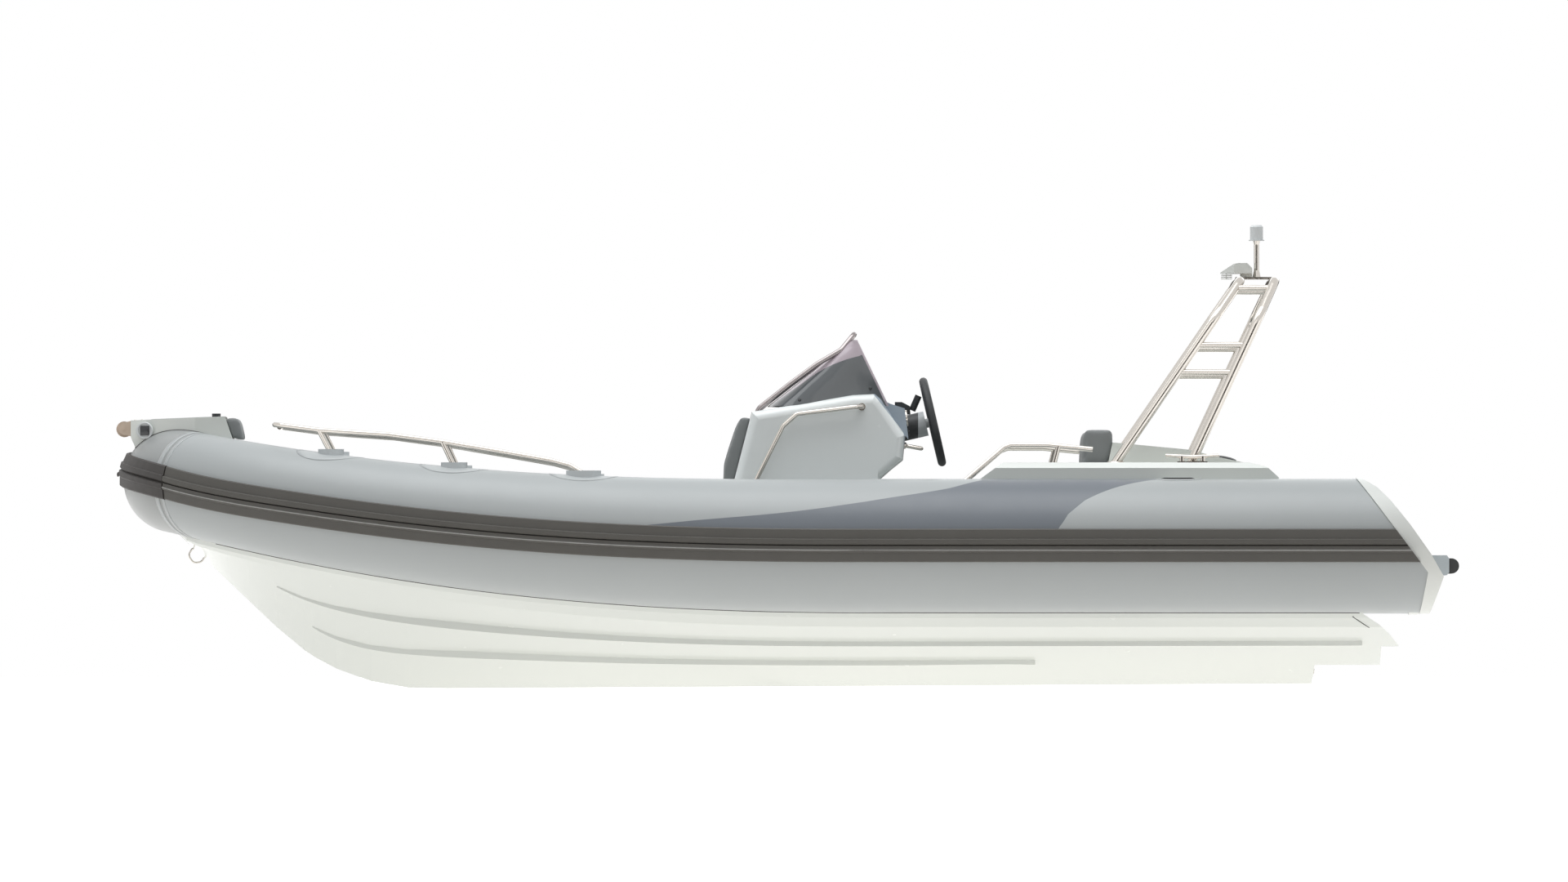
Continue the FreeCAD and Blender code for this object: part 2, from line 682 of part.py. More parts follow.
deliver("deck", shaped("deck", plan_solid(transom_front + gap, locker_aft - gap, inset + gap,
                                          deck_low, deck_high)))

# Transom with the engine's cut-out and bolt holes
transom = prism("transom_plate", "YZ_Plane",
                [("-half_track + deck_inset + flat_gap", "deck_top_z - deck_thickness + flat_gap"),
                 ("half_track - deck_inset - flat_gap", "deck_top_z - deck_thickness + flat_gap"),
                 ("half_track - deck_inset - flat_gap", "ledge_z"), ("half_track - 150", "ledge_z"),
                 ("half_track - 150", "transom_side_z"),
                 ("cutout_half_width + 45", "transom_side_z"), ("cutout_half_width", "transom_top_z"),
                 ("-cutout_half_width", "transom_top_z"), ("-cutout_half_width - 45", "transom_side_z"),
                 ("150 - half_track", "transom_side_z"), ("150 - half_track", "ledge_z"),
                 ("-half_track + deck_inset + flat_gap", "ledge_z")],
                "stern_x", "stern_x + transom_thickness")
upper_z = "transom_top_z - motor_bolt_edge"
bolt_holes = [cylinder("bolt_hole_%d" % index, "motor_bolt_hole / 2", "transom_thickness + 20",
                       ("stern_x - 10", side + spacing + " / 2", height), V(1, 0, 0))
              for index, (side, spacing, height) in enumerate([
                  ("", "motor_bolt_upper", upper_z), ("-", "motor_bolt_upper", upper_z),
                  ("", "motor_bolt_lower", upper_z + " - motor_bolt_drop"),
                  ("-", "motor_bolt_lower", upper_z + " - motor_bolt_drop")])]
deliver("transom", seated("transom", cut("transom_drilled", transom, fuse("bolt_holes", bolt_holes))))

# Bow locker, its lid and its cushion
locker_top = val("locker_top_z")
locker = plan_solid(locker_aft, locker_front - gap, inset + gap, val("locker_bottom_z"), locker_top)
lid_end = locker_aft + val("bow_lid_length")
cavity = plan_solid(locker_aft + 70, lid_end - 25, val("bow_lid_inset") + 22,
                    val("locker_bottom_z") + 20, locker_top + 1)
bow_fixed, bow_moving = hinge_halves(locker_aft, -1, locker_top, (-260, 260))
locker = clear_of_collar(locker).cut(cavity).fuse(bow_fixed).removeSplitter()
deliver("bow_locker", shaped("bow_locker", locker))
lid_low = locker_top + gap
lid_high = lid_low + val("lid_thickness")
bow_lid = plan_solid(locker_aft + 6, lid_end, val("bow_lid_inset"), lid_low, lid_high)
deliver("bow_locker_lid", shaped("bow_locker_lid", bow_lid.fuse(bow_moving).removeSplitter()))
bow_cushion = plan_solid(locker_aft + 20, lid_end - 15, val("bow_lid_inset") + 14, lid_high + gap,
                         lid_high + val("cushion_thickness"))
deliver("bow_cushion", shaped("bow_cushion", bow_cushion))

# Bow platform, roller, lamps, cleat and backrest
tip_x = val("platform_tip_x")
plat_aft = val("platform_aft_x")
plat_top = val("platform_top_z")
side = prism_y([(plat_aft, plat_top + 6), (tip_x, plat_top - 10), (tip_x, plat_top - 82),
                (tip_x - 21, plat_top - 130), (tip_x - 120, plat_top - 170), (plat_aft - 33, plat_top - 170),
                (plat_aft - 33, plat_top - 89)], -400, 400)
wide = val("platform_half_width")
narrow = val("platform_tip_half_width")
plan = Part.Face(Part.makePolygon([V(x, y, 0) for x, y in (
    (plat_aft - 40, wide), (plat_aft + 130, wide - 15), (tip_x - 60, narrow + 30), (tip_x, narrow),
    (tip_x, -narrow), (tip_x - 60, -narrow - 30), (plat_aft + 130, 15 - wide), (plat_aft - 40, -wide),
    (plat_aft - 40, wide))])).extrude(V(0, 0, 1500))
roller_gap = prism_y([(tip_x - 10, 1500), (tip_x - 10, 0), (tip_x + 90, 0), (tip_x + 90, 1500)],
                     -val("roller_width / 2 + 6"), val("roller_width / 2 + 6"))
platform = clear_of_collar(side.common(plan)).cut(roller_gap)
platform = max(platform.Solids, key=lambda solid: solid.Volume)

roller_x, roller_z = val("roller_x"), val("roller_z")
cheek_in = val("roller_width / 2 + 6")
cheek = prism_y([(tip_x + 0.3, plat_top - 12), (roller_x + 10, roller_z + 26), (roller_x + 22, roller_z + 10),
                 (roller_x + 22, roller_z - 12), (roller_x + 8, roller_z - 24), (tip_x + 0.3, roller_z - 30)],
                cheek_in, cheek_in + val("cheek_thickness"))
pin = Part.makeCylinder(val("roller_pin / 2"), 2 * cheek_in + 2 * val("cheek_thickness") + 6,
                        V(roller_x, -cheek_in - val("cheek_thickness") - 3, roller_z), V(0, 1, 0))
carrier = cheek.fuse(mirror_y(cheek)).fuse(pin)
deliver("roller_carrier", shaped("roller_carrier", carrier))
deliver("bow_platform", shaped("bow_platform", platform))

half_roller = val("roller_width / 2")
roller_rim = val("roller_radius")
roller_profile = Part.Face(Part.makePolygon([V(x, y, 0) for x, y in (
    (val("roller_pin / 2") + 0.3, -half_roller), (roller_rim, -half_roller), (roller_rim, -half_roller + 8),
    (roller_rim - 11, 0), (roller_rim, half_roller - 8), (roller_rim, half_roller),
    (val("roller_pin / 2") + 0.3, half_roller), (val("roller_pin / 2") + 0.3, -half_roller))]))
roller = roller_profile.revolve(V(0, 0, 0), V(0, 1, 0), 360)
roller.translate(V(roller_x, 0, roller_z))
deliver("bow_roller", shaped("bow_roller", roller))

# The lamps stand out of the platform's sides, turned a little forward
bezel = Part.makeCylinder(val("lamp_radius"), 40, V(tip_x - 68, 70, plat_top - 54), V(0.28, 0.96, 0))
lamp = bezel.cut(platform)
lamp = max(lamp.Solids, key=lambda solid: solid.Volume) if lamp.Solids else bezel
deliver("nav_lights", pair("nav_lights", shaped("nav_light_port", lamp)))

bow_cleat = cylinder("bow_cleat", 19, 15, ("platform_aft_x + 42", "0", "platform_top_z + 5.4"), UP)
deliver("bow_cleat", bow_cleat)

backrest = across("bow_backrest", [("platform_aft_x - 1", "platform_top_z + 5"),
                                   ("platform_aft_x - 59", "platform_top_z + 5"),
                                   ("platform_aft_x - 72", "platform_top_z - 17"),
                                   ("platform_aft_x - 92", "platform_top_z - 101"),
                                   ("platform_aft_x - 36", "platform_top_z - 89")], "platform_half_width - 3")
deliver("bow_backrest", seated("bow_backrest", backrest))

# Towing eye on the stem
EYE = [(2540, 334), (2573, 326), (2591, 296), (2567, 263), (2532, 268), (2512, 306)]
eye_line = [V(x, 0, z) for x, z in EYE]
eye = bent_tube(eye_line, 8, 24)
deliver("bow_eye", shaped("bow_eye", eye.cut(hull)))


# Hand rails along the bow

# Places along the rail, and its height above the tube's crest there
RAIL_HEIGHTS = [(2205, 91), (2012, 94), (1709, 111), (1471, 103), (1235, 82), (1014, 57), (930, 39), (866, 4)]
RAIL_POSTS = [(2012, 94, 1960), (1479, 104, 1428)]
RAIL_PADS = [(1960, 111), (1428, 114), (871, 150)]


def on_tube(x, height):
    """A place above the crest of the port tube."""
    return V(x, half_beam(x), centre_z(x) + radius_at(x) + height)


bow_rail_line = [on_tube(x, height) for x, height in RAIL_HEIGHTS]
bow_rail_line.insert(0, bow_rail_line[0] - V(0, 70, 0))
bow_rail = bent_tube(bow_rail_line, val("rail_tube"), val("rail_bend"))
for head, height, foot in RAIL_POSTS:
    post = bent_tube([on_tube(foot, 0), on_tube(head, height)], val("rail_tube"), val("rail_bend"))
    bow_rail = bow_rail.fuse(post)

pads = []
for foot, length in RAIL_PADS:
    pad = Part.makeCylinder(length / 2, 60, on_tube(foot, -40), UP)
    pads.append(pad)
    bow_rail = bow_rail.cut(pad)
pad_shapes = Part.makeCompound([clear_of_collar(pad) for pad in pads])
bow_rail = max(clear_of_collar(bow_rail).Solids, key=lambda solid: solid.Volume)
deliver("bow_rails", pair("bow_rails", shaped("bow_rail_port", bow_rail)))
deliver("rail_pads", pair("rail_pads", shaped("rail_pads_port", pad_shapes)))

# Console
console = across("console_body", [("260", "deck_top_z + flat_gap"), ("227", "617"), ("150", "915"),
                                  ("-287", "987"), ("-382", "992"), ("-409", "969"), ("-513", "812"),
                                  ("-504", "708"), ("-459", "672"), ("-396", "617"),
                                  ("-430", "deck_top_z + flat_gap")], "console_half_width")
rounded(console, "console_round", lambda edge: not runs_along(edge, V(0, 1, 0))
        and edge.BoundBox.ZMin > 600 and abs(abs(edge.BoundBox.Center.y) - val("console_half_width")) < 1)
deliver("console", console)

dash = across("console_dash", [("-409", "969.5"), ("-449", "950"), ("-511", "930"), ("-527", "797"),
                               ("-513.4", "812")], "dash_half_width")
deliver("console_dash", dash)

# Windshield: a raked front pane that turns back into two side panes, and the rail round its front edge
SCREEN_FOOT = V(val("screen_foot_x"), 0, val("screen_foot_z"))
SCREEN_TIP = V(val("screen_tip_x"), 0, val("screen_tip_z"))
RAKE = (SCREEN_TIP - SCREEN_FOOT).normalize()
SCREEN_SET_BACK = 26


def screen_line(level):
    """Aft edge, front and half width of the sheet at a height."""
    front = SCREEN_FOOT.x + (level - SCREEN_FOOT.z) * RAKE.x / RAKE.z - SCREEN_SET_BACK / RAKE.z
    back = -441 + (level - 943) * 0.478
    half = val("screen_half_width") - (level - SCREEN_FOOT.z) * 0.2
    return back, front, half


def screen_section(level):
    """One horizontal section: two parallel curves round the front, closed at the aft edges."""
    back, front, half = screen_line(level)
    depth = front - back
    lines = []
    for inside in (0, val("screen_thickness")):
        run = [V(back, half - inside, level), V(back + depth * 0.55, half * 0.99 - inside, level),
               V(back + depth * 0.9 - inside, half * 0.88 - inside * 0.7, level),
               V(back + depth * 0.985 - inside, half * 0.5, level), V(front - inside, 0, level)]
        far = [V(point.x, -point.y, point.z) for point in reversed(run[:-1])]
        curve = Part.BSplineCurve()
        curve.interpolate(run + far)
        lines.append(curve.toShape())
    edge = half - val("screen_thickness")
    ends = [Part.LineSegment(V(back, side * half, level), V(back, side * edge, level)).toShape()
            for side in (1, -1)]
    return Part.Wire(Part.sortEdges(lines + ends)[0])


doc.recompute()
levels = [940, 1010, 1080, 1150, val("screen_tip_z") - 35]
screen = Part.makeLoft([screen_section(level) for level in levels], True).cut(console.Shape)
screen = max(screen.Solids, key=lambda solid: solid.Volume)
deliver("windshield", shaped("windshield", screen))

# Places along the rail: share of the way from foot to tip, how far it stands above that line, and its y
SCREEN_RAIL = [(0.04, 0, 252), (0.36, 0, 246), (0.62, -4, 234), (0.84, -20, 212), (1.0, 0, 160)]
above_line = V(RAKE.z, 0, -RAKE.x)
half_tube = val("rail_tube / 2")
screen_rail_line = [SCREEN_FOOT + V(-14, SCREEN_RAIL[0][2], -24)]
for share, lift, y in SCREEN_RAIL:
    on_line = SCREEN_FOOT + (SCREEN_TIP - SCREEN_FOOT) * share
    screen_rail_line.append(on_line + above_line * (lift - half_tube) + V(0, y, 0))
screen_rail_line += [V(point.x, -point.y, point.z) for point in reversed(screen_rail_line)]
screen_rail = bent_tube(screen_rail_line, val("rail_tube"), val("rail_bend"))
seat_of_rail = console.Shape.copy()
seat_of_rail.translate(V(0, 0, gap))
screen_rail = max(screen_rail.cut(seat_of_rail).cut(screen).Solids, key=lambda solid: solid.Volume)
deliver("screen_rail", shaped("screen_rail", screen_rail))

# Hand rails on the console
console_wall = val("console_half_width")
console_side = console_wall + val("rail_tube / 2") + 32
rail_points = [V(150, console_wall - 5, 470), V(140, console_side, 500), V(132, console_side, 617),
               V(15, console_side, 852), V(-45, console_side, 905), V(-300, console_side, 936),
               V(-325, console_side - 30, 938), V(-325, console_wall - 5, 938)]
console_block = Part.makeBox(2000, 2 * (console_wall + gap), 2000, V(-1000, -console_wall - gap, 0))
console_rail = bent_tube(rail_points, 20, 30).cut(console_block)
deliver("console_rails", pair("console_rails", shaped("console_rail_port", console_rail)))

# Helm unit and steering wheel, both on the wheel's leaning axis
lean = math.radians(val("wheel_lean"))
wheel_axis = V(-math.cos(lean), 0, math.sin(lean))
wheel_centre = V(val("wheel_x"), 0, val("wheel_z"))
helm = Part.makeCylinder(val("helm_radius"), 120, wheel_centre - wheel_axis * 150, wheel_axis)
helm = helm.fuse(Part.makeCylinder(20, 30, wheel_centre - wheel_axis * 42, wheel_axis))
dash_shape = dash.Shape.fuse(console.Shape)
helm = max(helm.cut(dash_shape).Solids, key=lambda solid: solid.Volume)
deliver("helm_unit", shaped("helm_unit", helm))

turned = FreeCAD.Rotation(UP, wheel_axis)
rim = Part.makeTorus(val("wheel_radius"), val("wheel_rim / 2"))
wheel = rim.fuse(Part.makeCylinder(38, 26, V(0, 0, -11.5), UP))
for turn in (60, 180, 300):
    spoke = Part.makeBox(val("wheel_radius") - 4, 34, 9, V(0, -17, -6))
    spoke.rotate(V(0, 0, 0), UP, turn)
    wheel = wheel.fuse(spoke)
wheel.Placement = FreeCAD.Placement(wheel_centre, turned)
deliver("steering_wheel", shaped("steering_wheel", wheel))

# Throttle control on the dash
throttle = prism_y([(-470, 962), (-500, 962), (-535, 944), (-538, 908), (-470, 908)], -190, -130)
throttle = throttle.fuse(Part.makeCylinder(15, 70, V(-545, -160, 925), V(-0.4, 0, 0.92)))
throttle = max(throttle.cut(dash_shape).Solids, key=lambda solid: solid.Volume)
deliver("throttle_control", shaped("throttle_control", throttle))

# Front seat with its locker, lid, cushion and backrest
seat_box = box("front_seat_box", ("seat_aft_x", "-seat_half_width", "deck_top_z + flat_gap"),
               ("seat_front_x", "seat_half_width", "seat_rim_z"))
seat_hole = box("front_seat_hole",
                ("seat_aft_x + locker_wall", "locker_wall - seat_half_width", "deck_top_z + 20"),
                ("seat_front_x - locker_wall", "seat_half_width - locker_wall", "seat_rim_z + 1"))
seat_fixed, seat_moving = hinge_halves(val("seat_front_x"), 1, val("seat_rim_z"), (-200, 200))
deliver("front_seat", with_hinges("front_seat", cut("front_seat_open", seat_box, seat_hole), seat_fixed))
seat_lid = box("front_seat_top", ("seat_aft_x + 26", "-seat_half_width + 4", "seat_rim_z + flat_gap"),
               ("seat_front_x - 4", "seat_half_width - 4", "lid_top_z"))
deliver("front_seat_lid", with_hinges("front_seat_lid", seat_lid, seat_moving))
seat_cushion = box("front_seat_cushion",
                   ("seat_aft_x + 50", "-seat_half_width + 10", "lid_top_z + flat_gap"),
                   ("seat_front_x - 10", "seat_half_width - 10",
                    "seat_rim_z + lid_thickness + cushion_thickness"))
deliver("front_seat_cushion", seat_cushion)
front_backrest = across("front_backrest", [("154", "902"), ("228", "617.5"), ("246", "560"), ("296", "560"),
                                           ("281", "617"), ("277", "690"), ("254", "762"), ("222", "852"),
                                           ("200", "902")], "console_half_width - 80")
deliver("front_backrest", front_backrest)

# Stern moulding: two coamings, the bench's locker and the stern deck in one
section = prism("coaming_section", "YZ_Plane",
                [("coaming_inner_y", "deck_top_z + flat_gap"),
                 ("half_track - deck_inset - flat_gap", "deck_top_z + flat_gap"),
                 ("half_track - deck_inset - flat_gap", "ledge_z"), ("coaming_outer_y", "ledge_z"),
                 ("coaming_outer_y", "coaming_top_z - 24"), ("coaming_outer_y - 24", "coaming_top_z"),
                 ("coaming_inner_y", "coaming_top_z")], "stern_deck_x", "bench_front_x")
profile = prism("coaming_profile", "XZ_Plane",
                [("bench_front_x", "deck_top_z"), ("bench_front_x - 4", "coaming_top_z - 70"),
                 ("bench_front_x - 100", "coaming_top_z"), ("stern_deck_x + 126", "coaming_top_z"),
                 ("stern_deck_x + 52", "coaming_top_z - 18"), ("stern_deck_x", "coaming_top_z - 65"),
                 ("stern_deck_x", "deck_top_z")], "-coaming_outer_y - 5", "-coaming_inner_y + 5")
coaming = common("coaming_port", section, profile)
stern_deck = across("stern_deck", [("bench_back_x", "deck_top_z + flat_gap"), ("bench_back_x", "seat_rim_z"),
                                   ("bench_back_x - 74", "780"), ("bench_back_x - 402", "749"),
                                   ("bench_back_x - 526", "718"), ("stern_deck_x + 172", "699"),
                                   ("stern_deck_x + 52", "674"), ("stern_deck_x", "627"),
                                   ("stern_deck_x", "deck_top_z + flat_gap")], "coaming_inner_y + 1")
bench_box = box("bench_box", ("bench_back_x - 5", "-coaming_inner_y - 1", "deck_top_z + flat_gap"),
                ("bench_front_x", "coaming_inner_y + 1", "seat_rim_z"))
bench_hole = box("bench_hole",
                 ("lid_aft_x + locker_rim", "-coaming_inner_y + locker_wall", "deck_top_z + 20"),
                 ("bench_front_x - locker_wall", "coaming_inner_y - locker_wall", "seat_rim_z + 1"))
moulding = fuse("stern_moulding", [pair("coamings", coaming), stern_deck, bench_box])
bench = seated("stern_moulding_seated", cut("stern_bench_open", moulding, bench_hole))
bench_hinges = val("coaming_inner_y") - 160
bench_fixed, bench_moving = hinge_halves(val("bench_front_x"), 1, val("seat_rim_z"),
                                         (-bench_hinges, 0, bench_hinges))
deliver("stern_bench", with_hinges("stern_bench", bench, bench_fixed))
bench_lid = box("bench_top", ("lid_aft_x", "-coaming_inner_y + 8", "seat_rim_z + flat_gap"),
                ("bench_front_x - 4", "coaming_inner_y - 8", "lid_top_z"))
deliver("bench_lid", with_hinges("bench_lid", bench_lid, bench_moving))
bench_cushion = box("bench_cushion",
                    ("lid_aft_x + 4", "-coaming_inner_y + 14", "lid_top_z + flat_gap"),
                    ("bench_front_x - 10", "coaming_inner_y - 14",
                     "seat_rim_z + lid_thickness + cushion_thickness"))
deliver("bench_cushion", bench_cushion)
stern_backrest = across("stern_backrest", [("bench_back_x + backrest_foot", "seat_rim_z + 10"),
                                           ("bench_back_x + backrest_head", "backrest_top_z"),
                                           ("bench_back_x - 73", "backrest_top_z"),
                                           ("bench_back_x - 75", "786"),
                                           ("bench_back_x - 1.5", "seat_rim_z + 10")], "coaming_inner_y - 14")
deliver("stern_backrest", seated("stern_backrest", stern_backrest))

# Hand rails beside the bench, each on one post, with a free aft end
stern_rail_y = val("stern_rail_y")
stern_rail_line = [V(-767, stern_rail_y + 60, 612), V(-935, stern_rail_y, 756), V(-965, stern_rail_y, 767),
                   V(-1118, stern_rail_y, 767), V(-1316, stern_rail_y, 748)]
stern_rail = bent_tube(stern_rail_line, val("rail_tube"), 25)
post = bent_tube([V(-1148, stern_rail_y, 680), V(-1169, stern_rail_y, 762)], val("rail_tube"), 10)
seat_of_stern_rail = bench.Shape.copy()
seat_of_stern_rail.translate(V(0, 0, gap))
stern_rail = clear_of_collar(stern_rail.fuse(post)).cut(seat_of_stern_rail)
stern_rail = max(stern_rail.Solids, key=lambda solid: solid.Volume)
deliver("stern_rails", pair("stern_rails", shaped("stern_rail_port", stern_rail)))

# Arch: two hoops tied by rungs, with a plate for the lights on top

def arch_leg(foot_x, top_x, height):
    share = (height - val("coaming_top_z")) / (val("arch_top_z") - val("coaming_top_z"))
    return foot_x + (top_x - foot_x) * share


def hoop(foot_x, top_x):
    shoulder_x = arch_leg(foot_x, top_x, val("arch_shoulder_z"))
    port = [V(foot_x + 14, val("arch_foot_y"), val("coaming_top_z") - 20),
            V(shoulder_x, val("arch_shoulder_y"), val("arch_shoulder_z")),
            V(top_x, val("arch_top_y"), val("arch_top_z"))]
    starboard = [V(point.x, -point.y, point.z) for point in reversed(port)]
    return bent_tube(port + starboard, val("arch_tube"), val("arch_bend"))


front_foot, front_top = val("arch_front_foot_x"), val("arch_front_top_x")
rear_foot, rear_top = val("arch_rear_foot_x"), val("arch_rear_top_x")
arch = hoop(front_foot, front_top).fuse(hoop(rear_foot, rear_top))


def rung_y(level):
    """How far out the legs are at a height."""
    shoulder_z = val("arch_shoulder_z")
    if level < shoulder_z:
        share = (level - val("coaming_top_z")) / (shoulder_z - val("coaming_top_z"))
        return val("arch_foot_y") - val("arch_lean") * share
    share = (level - shoulder_z) / (val("arch_top_z") - shoulder_z)
    return val("arch_shoulder_y") + (val("arch_top_y") - val("arch_shoulder_y")) * share


for level in (1081, 1198, 1446):
    for hand in (1, -1):
        rung = bent_tube([V(arch_leg(front_foot, front_top, level), hand * rung_y(level), level),
                          V(arch_leg(rear_foot, rear_top, level), hand * rung_y(level), level)],
                         val("arch_rung"), 10)
        arch = arch.fuse(rung)
top_level = val("arch_top_z + arch_tube / 2")
plate = Part.makeBox(front_top - rear_top + 20, 220, 8, V(rear_top - 10, -110, top_level - 5))
arch = arch.fuse(plate)
below_coaming = Part.makeBox(3000, 4000, 400, V(-3100, -2000, val("coaming_top_z") + gap - 400))
deliver("arch", shaped("arch", arch.cut(below_coaming)))

# Deck light: a wedge of a housing on a block, with a small grille under its front
plate_top = top_level + 3
light_x = val("light_front_x")
light_end = light_x - val("light_length")
light_low = plate_top + 16
light_high = light_low + val("light_height")
light_wide = val("light_half_width")
housing = prism_y([(light_x, light_low), (light_x - 5, light_low + 7), (light_x - 58, light_high - 4),
                   (light_x - 78, light_high), (light_end + 22, light_high), (light_end, light_high - 22),
                   (light_end, light_low)], -light_wide, light_wide)
plan_corner = 60
plan = Part.Face(Part.makePolygon([V(x, y, 0) for x, y in (
    (light_x, light_wide - plan_corner), (light_x - plan_corner, light_wide), (light_end, light_wide - 6),
    (light_end, 6 - light_wide), (light_x - plan_corner, -light_wide), (light_x, plan_corner - light_wide),
    (light_x, light_wide - plan_corner))])).extrude(V(0, 0, 2000))
light = housing.common(plan)
light = light.fuse(Part.makeBox(50, 120, 18, V(light_end, -60, plate_top + gap)))
for level in (-8, -16, -24):
    light = light.fuse(Part.makeBox(46, 110, 3, V(light_x - 52, -55, light_low + level)))
for side in (-54, -1.5, 51):
    light = light.fuse(Part.makeBox(3, 3, 26, V(light_x - 30, side, light_low - 25)))
deliver("deck_light", shaped("deck_light", light))

# All-round light on its pole
pole_x = val("pole_x")
pole_low = plate_top + gap
pole_high = plate_top + val("pole_length")
pole = Part.makeCone(18, val("pole_diameter / 2"), 30, V(pole_x, 0, pole_low), UP)
pole_radius = val("pole_diameter / 2")
pole = pole.fuse(Part.makeCylinder(pole_radius, pole_high - pole_low, V(pole_x, 0, pole_low), UP))
pole = pole.fuse(Part.makeCone(val("pole_diameter / 2"), 16, 16, V(pole_x, 0, pole_high - 16), UP))
deliver("light_pole", shaped("light_pole", pole))
lamp_low = pole_high + gap
globe_radius = val("globe_radius")
globe_high = lamp_low + val("globe_height")
globe = Part.makeCylinder(globe_radius + 6, 4, V(pole_x, 0, lamp_low), UP)
globe = globe.fuse(Part.makeCylinder(globe_radius, val("globe_height") - 8, V(pole_x, 0, lamp_low), UP))
globe = globe.fuse(Part.makeCone(globe_radius, globe_radius - 6, 8, V(pole_x, 0, globe_high - 8), UP))
deliver("all_round_light", shaped("all_round_light", globe))

# Stern cleats on the coamings
cleat_y = val("cleat_y")
cleat_foot = val("coaming_top_z") + gap
cleat = bent_tube([V(-1861, cleat_y, 722), V(-1745, cleat_y, 716), V(-1630, cleat_y, 722)], 16, 100)
for foot in (-1790, -1700):
    cleat = cleat.fuse(Part.makeCylinder(10, 26, V(foot, cleat_y, cleat_foot + 1), UP))
cleat = cleat.fuse(Part.makeBox(130, 34, 5, V(-1810, cleat_y - 17, cleat_foot)))
deliver("stern_cleats", pair("stern_cleats", shaped("stern_cleat_port", cleat)))

# Swim steps with the boarding ladder's brackets
step = prism("swim_step_port", "XZ_Plane",
             [("stern_x - flat_gap", "step_top_z - 75"), ("stern_x - flat_gap", "step_top_z"),
              ("step_end_x", "step_top_z"), ("step_end_x", "step_top_z - 12"),
              ("step_end_x + 110", "step_top_z - 50")], "-ladder_outer_y - 50", "-ladder_inner_y + 54")
deliver("swim_steps", pair("swim_steps", step))

hinge_x, hinge_z = val("ladder_x"), val("ladder_z")
step_top = val("step_top_z")
step_end = val("step_end_x")
inner_y, outer_y = val("ladder_inner_y"), val("ladder_outer_y")
bracket_outline = [(step_end + 70, step_top + gap), (step_end + 70, step_top + 30),
                   (step_end + 10, hinge_z + 44), (hinge_x - 8, hinge_z + 44),
                   (hinge_x - 18, hinge_z + 30), (hinge_x - 18, hinge_z - 30),
                   (hinge_x - 8, hinge_z - 42), (step_end + 8, step_top + gap)]
bracket = Part.makeCylinder(val("ladder_pin / 2"), outer_y - inner_y + 60,
                            V(hinge_x, inner_y - 30, hinge_z), V(0, 1, 0))
for y in (inner_y - 27, outer_y + 21):
    bracket = bracket.fuse(prism_y(bracket_outline, y, y + 6))
deliver("ladder_bracket", shaped("ladder_bracket", bracket))

rail_radius = val("ladder_tube / 2")
knuckle = val("ladder_knuckle")
nose_out = val("ladder_nose")
ladder_end = hinge_x + val("ladder_length")
ladder = Part.makeBox(44, outer_y - inner_y, 26, V(ladder_end - 50, inner_y, hinge_z - 13))
ladder = ladder.fuse(Part.makeBox(44, outer_y - inner_y, 26, V(hinge_x + 110, inner_y, hinge_z - 13)))
for y in (inner_y, outer_y):
    low_y = y - rail_radius - 1
    wide = 2 * rail_radius + 2
    rail = Part.makeCylinder(rail_radius, val("ladder_length") - 10, V(hinge_x + 10, y, hinge_z), V(1, 0, 0))
    eye_end = Part.makeCylinder(knuckle, wide, V(hinge_x, low_y, hinge_z), V(0, 1, 0))
    nose_end = Part.makeCylinder(knuckle - 3, wide, V(hinge_x - nose_out, low_y, hinge_z - 2), V(0, 1, 0))
    web = Part.makeBox(nose_out, wide, 2 * knuckle - 6, V(hinge_x - nose_out, low_y, hinge_z - knuckle + 1))
    bore = Part.makeCylinder(val("ladder_pin / 2") + 0.4, 2 * wide, V(hinge_x, y - wide, hinge_z), V(0, 1, 0))
    ladder = ladder.fuse([rail, eye_end, nose_end, web]).cut(bore)
deliver("boarding_ladder", shaped("boarding_ladder", ladder.removeSplitter()))

# Check every object, then write the files
doc.recompute()
for item in doc.Objects:
    if "Invalid" in item.State or "Error" in item.State:
        raise RuntimeError("%s failed to compute" % item.Name)
os.makedirs("parts", exist_ok=True)
for label, piece in PIECES.items():
    shape = piece.Shape
    if shape.isNull() or not shape.isValid():
        raise RuntimeError("%s has no valid shape" % label)
    shape.exportStep("parts/%s.step" % label)
    print("%-20s solids %d volume %.0f cm3" % (label, len(shape.Solids), shape.Volume / 1000))
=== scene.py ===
# %% [markdown]
# # A rigid inflatable boat
# The boat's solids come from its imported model: hull, tubes, seats, console, rails and arch, each at its
# place in metres, with +X to the bow, +Y to port and +Z up. This script gives them their finishes, adds
# the soft and the small pieces, and sets up a plain studio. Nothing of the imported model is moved.

# %% Load the boat
import json
import math

import bmesh
import bpy
from mathutils import Matrix, Vector
from mathutils.bvhtree import BVHTree

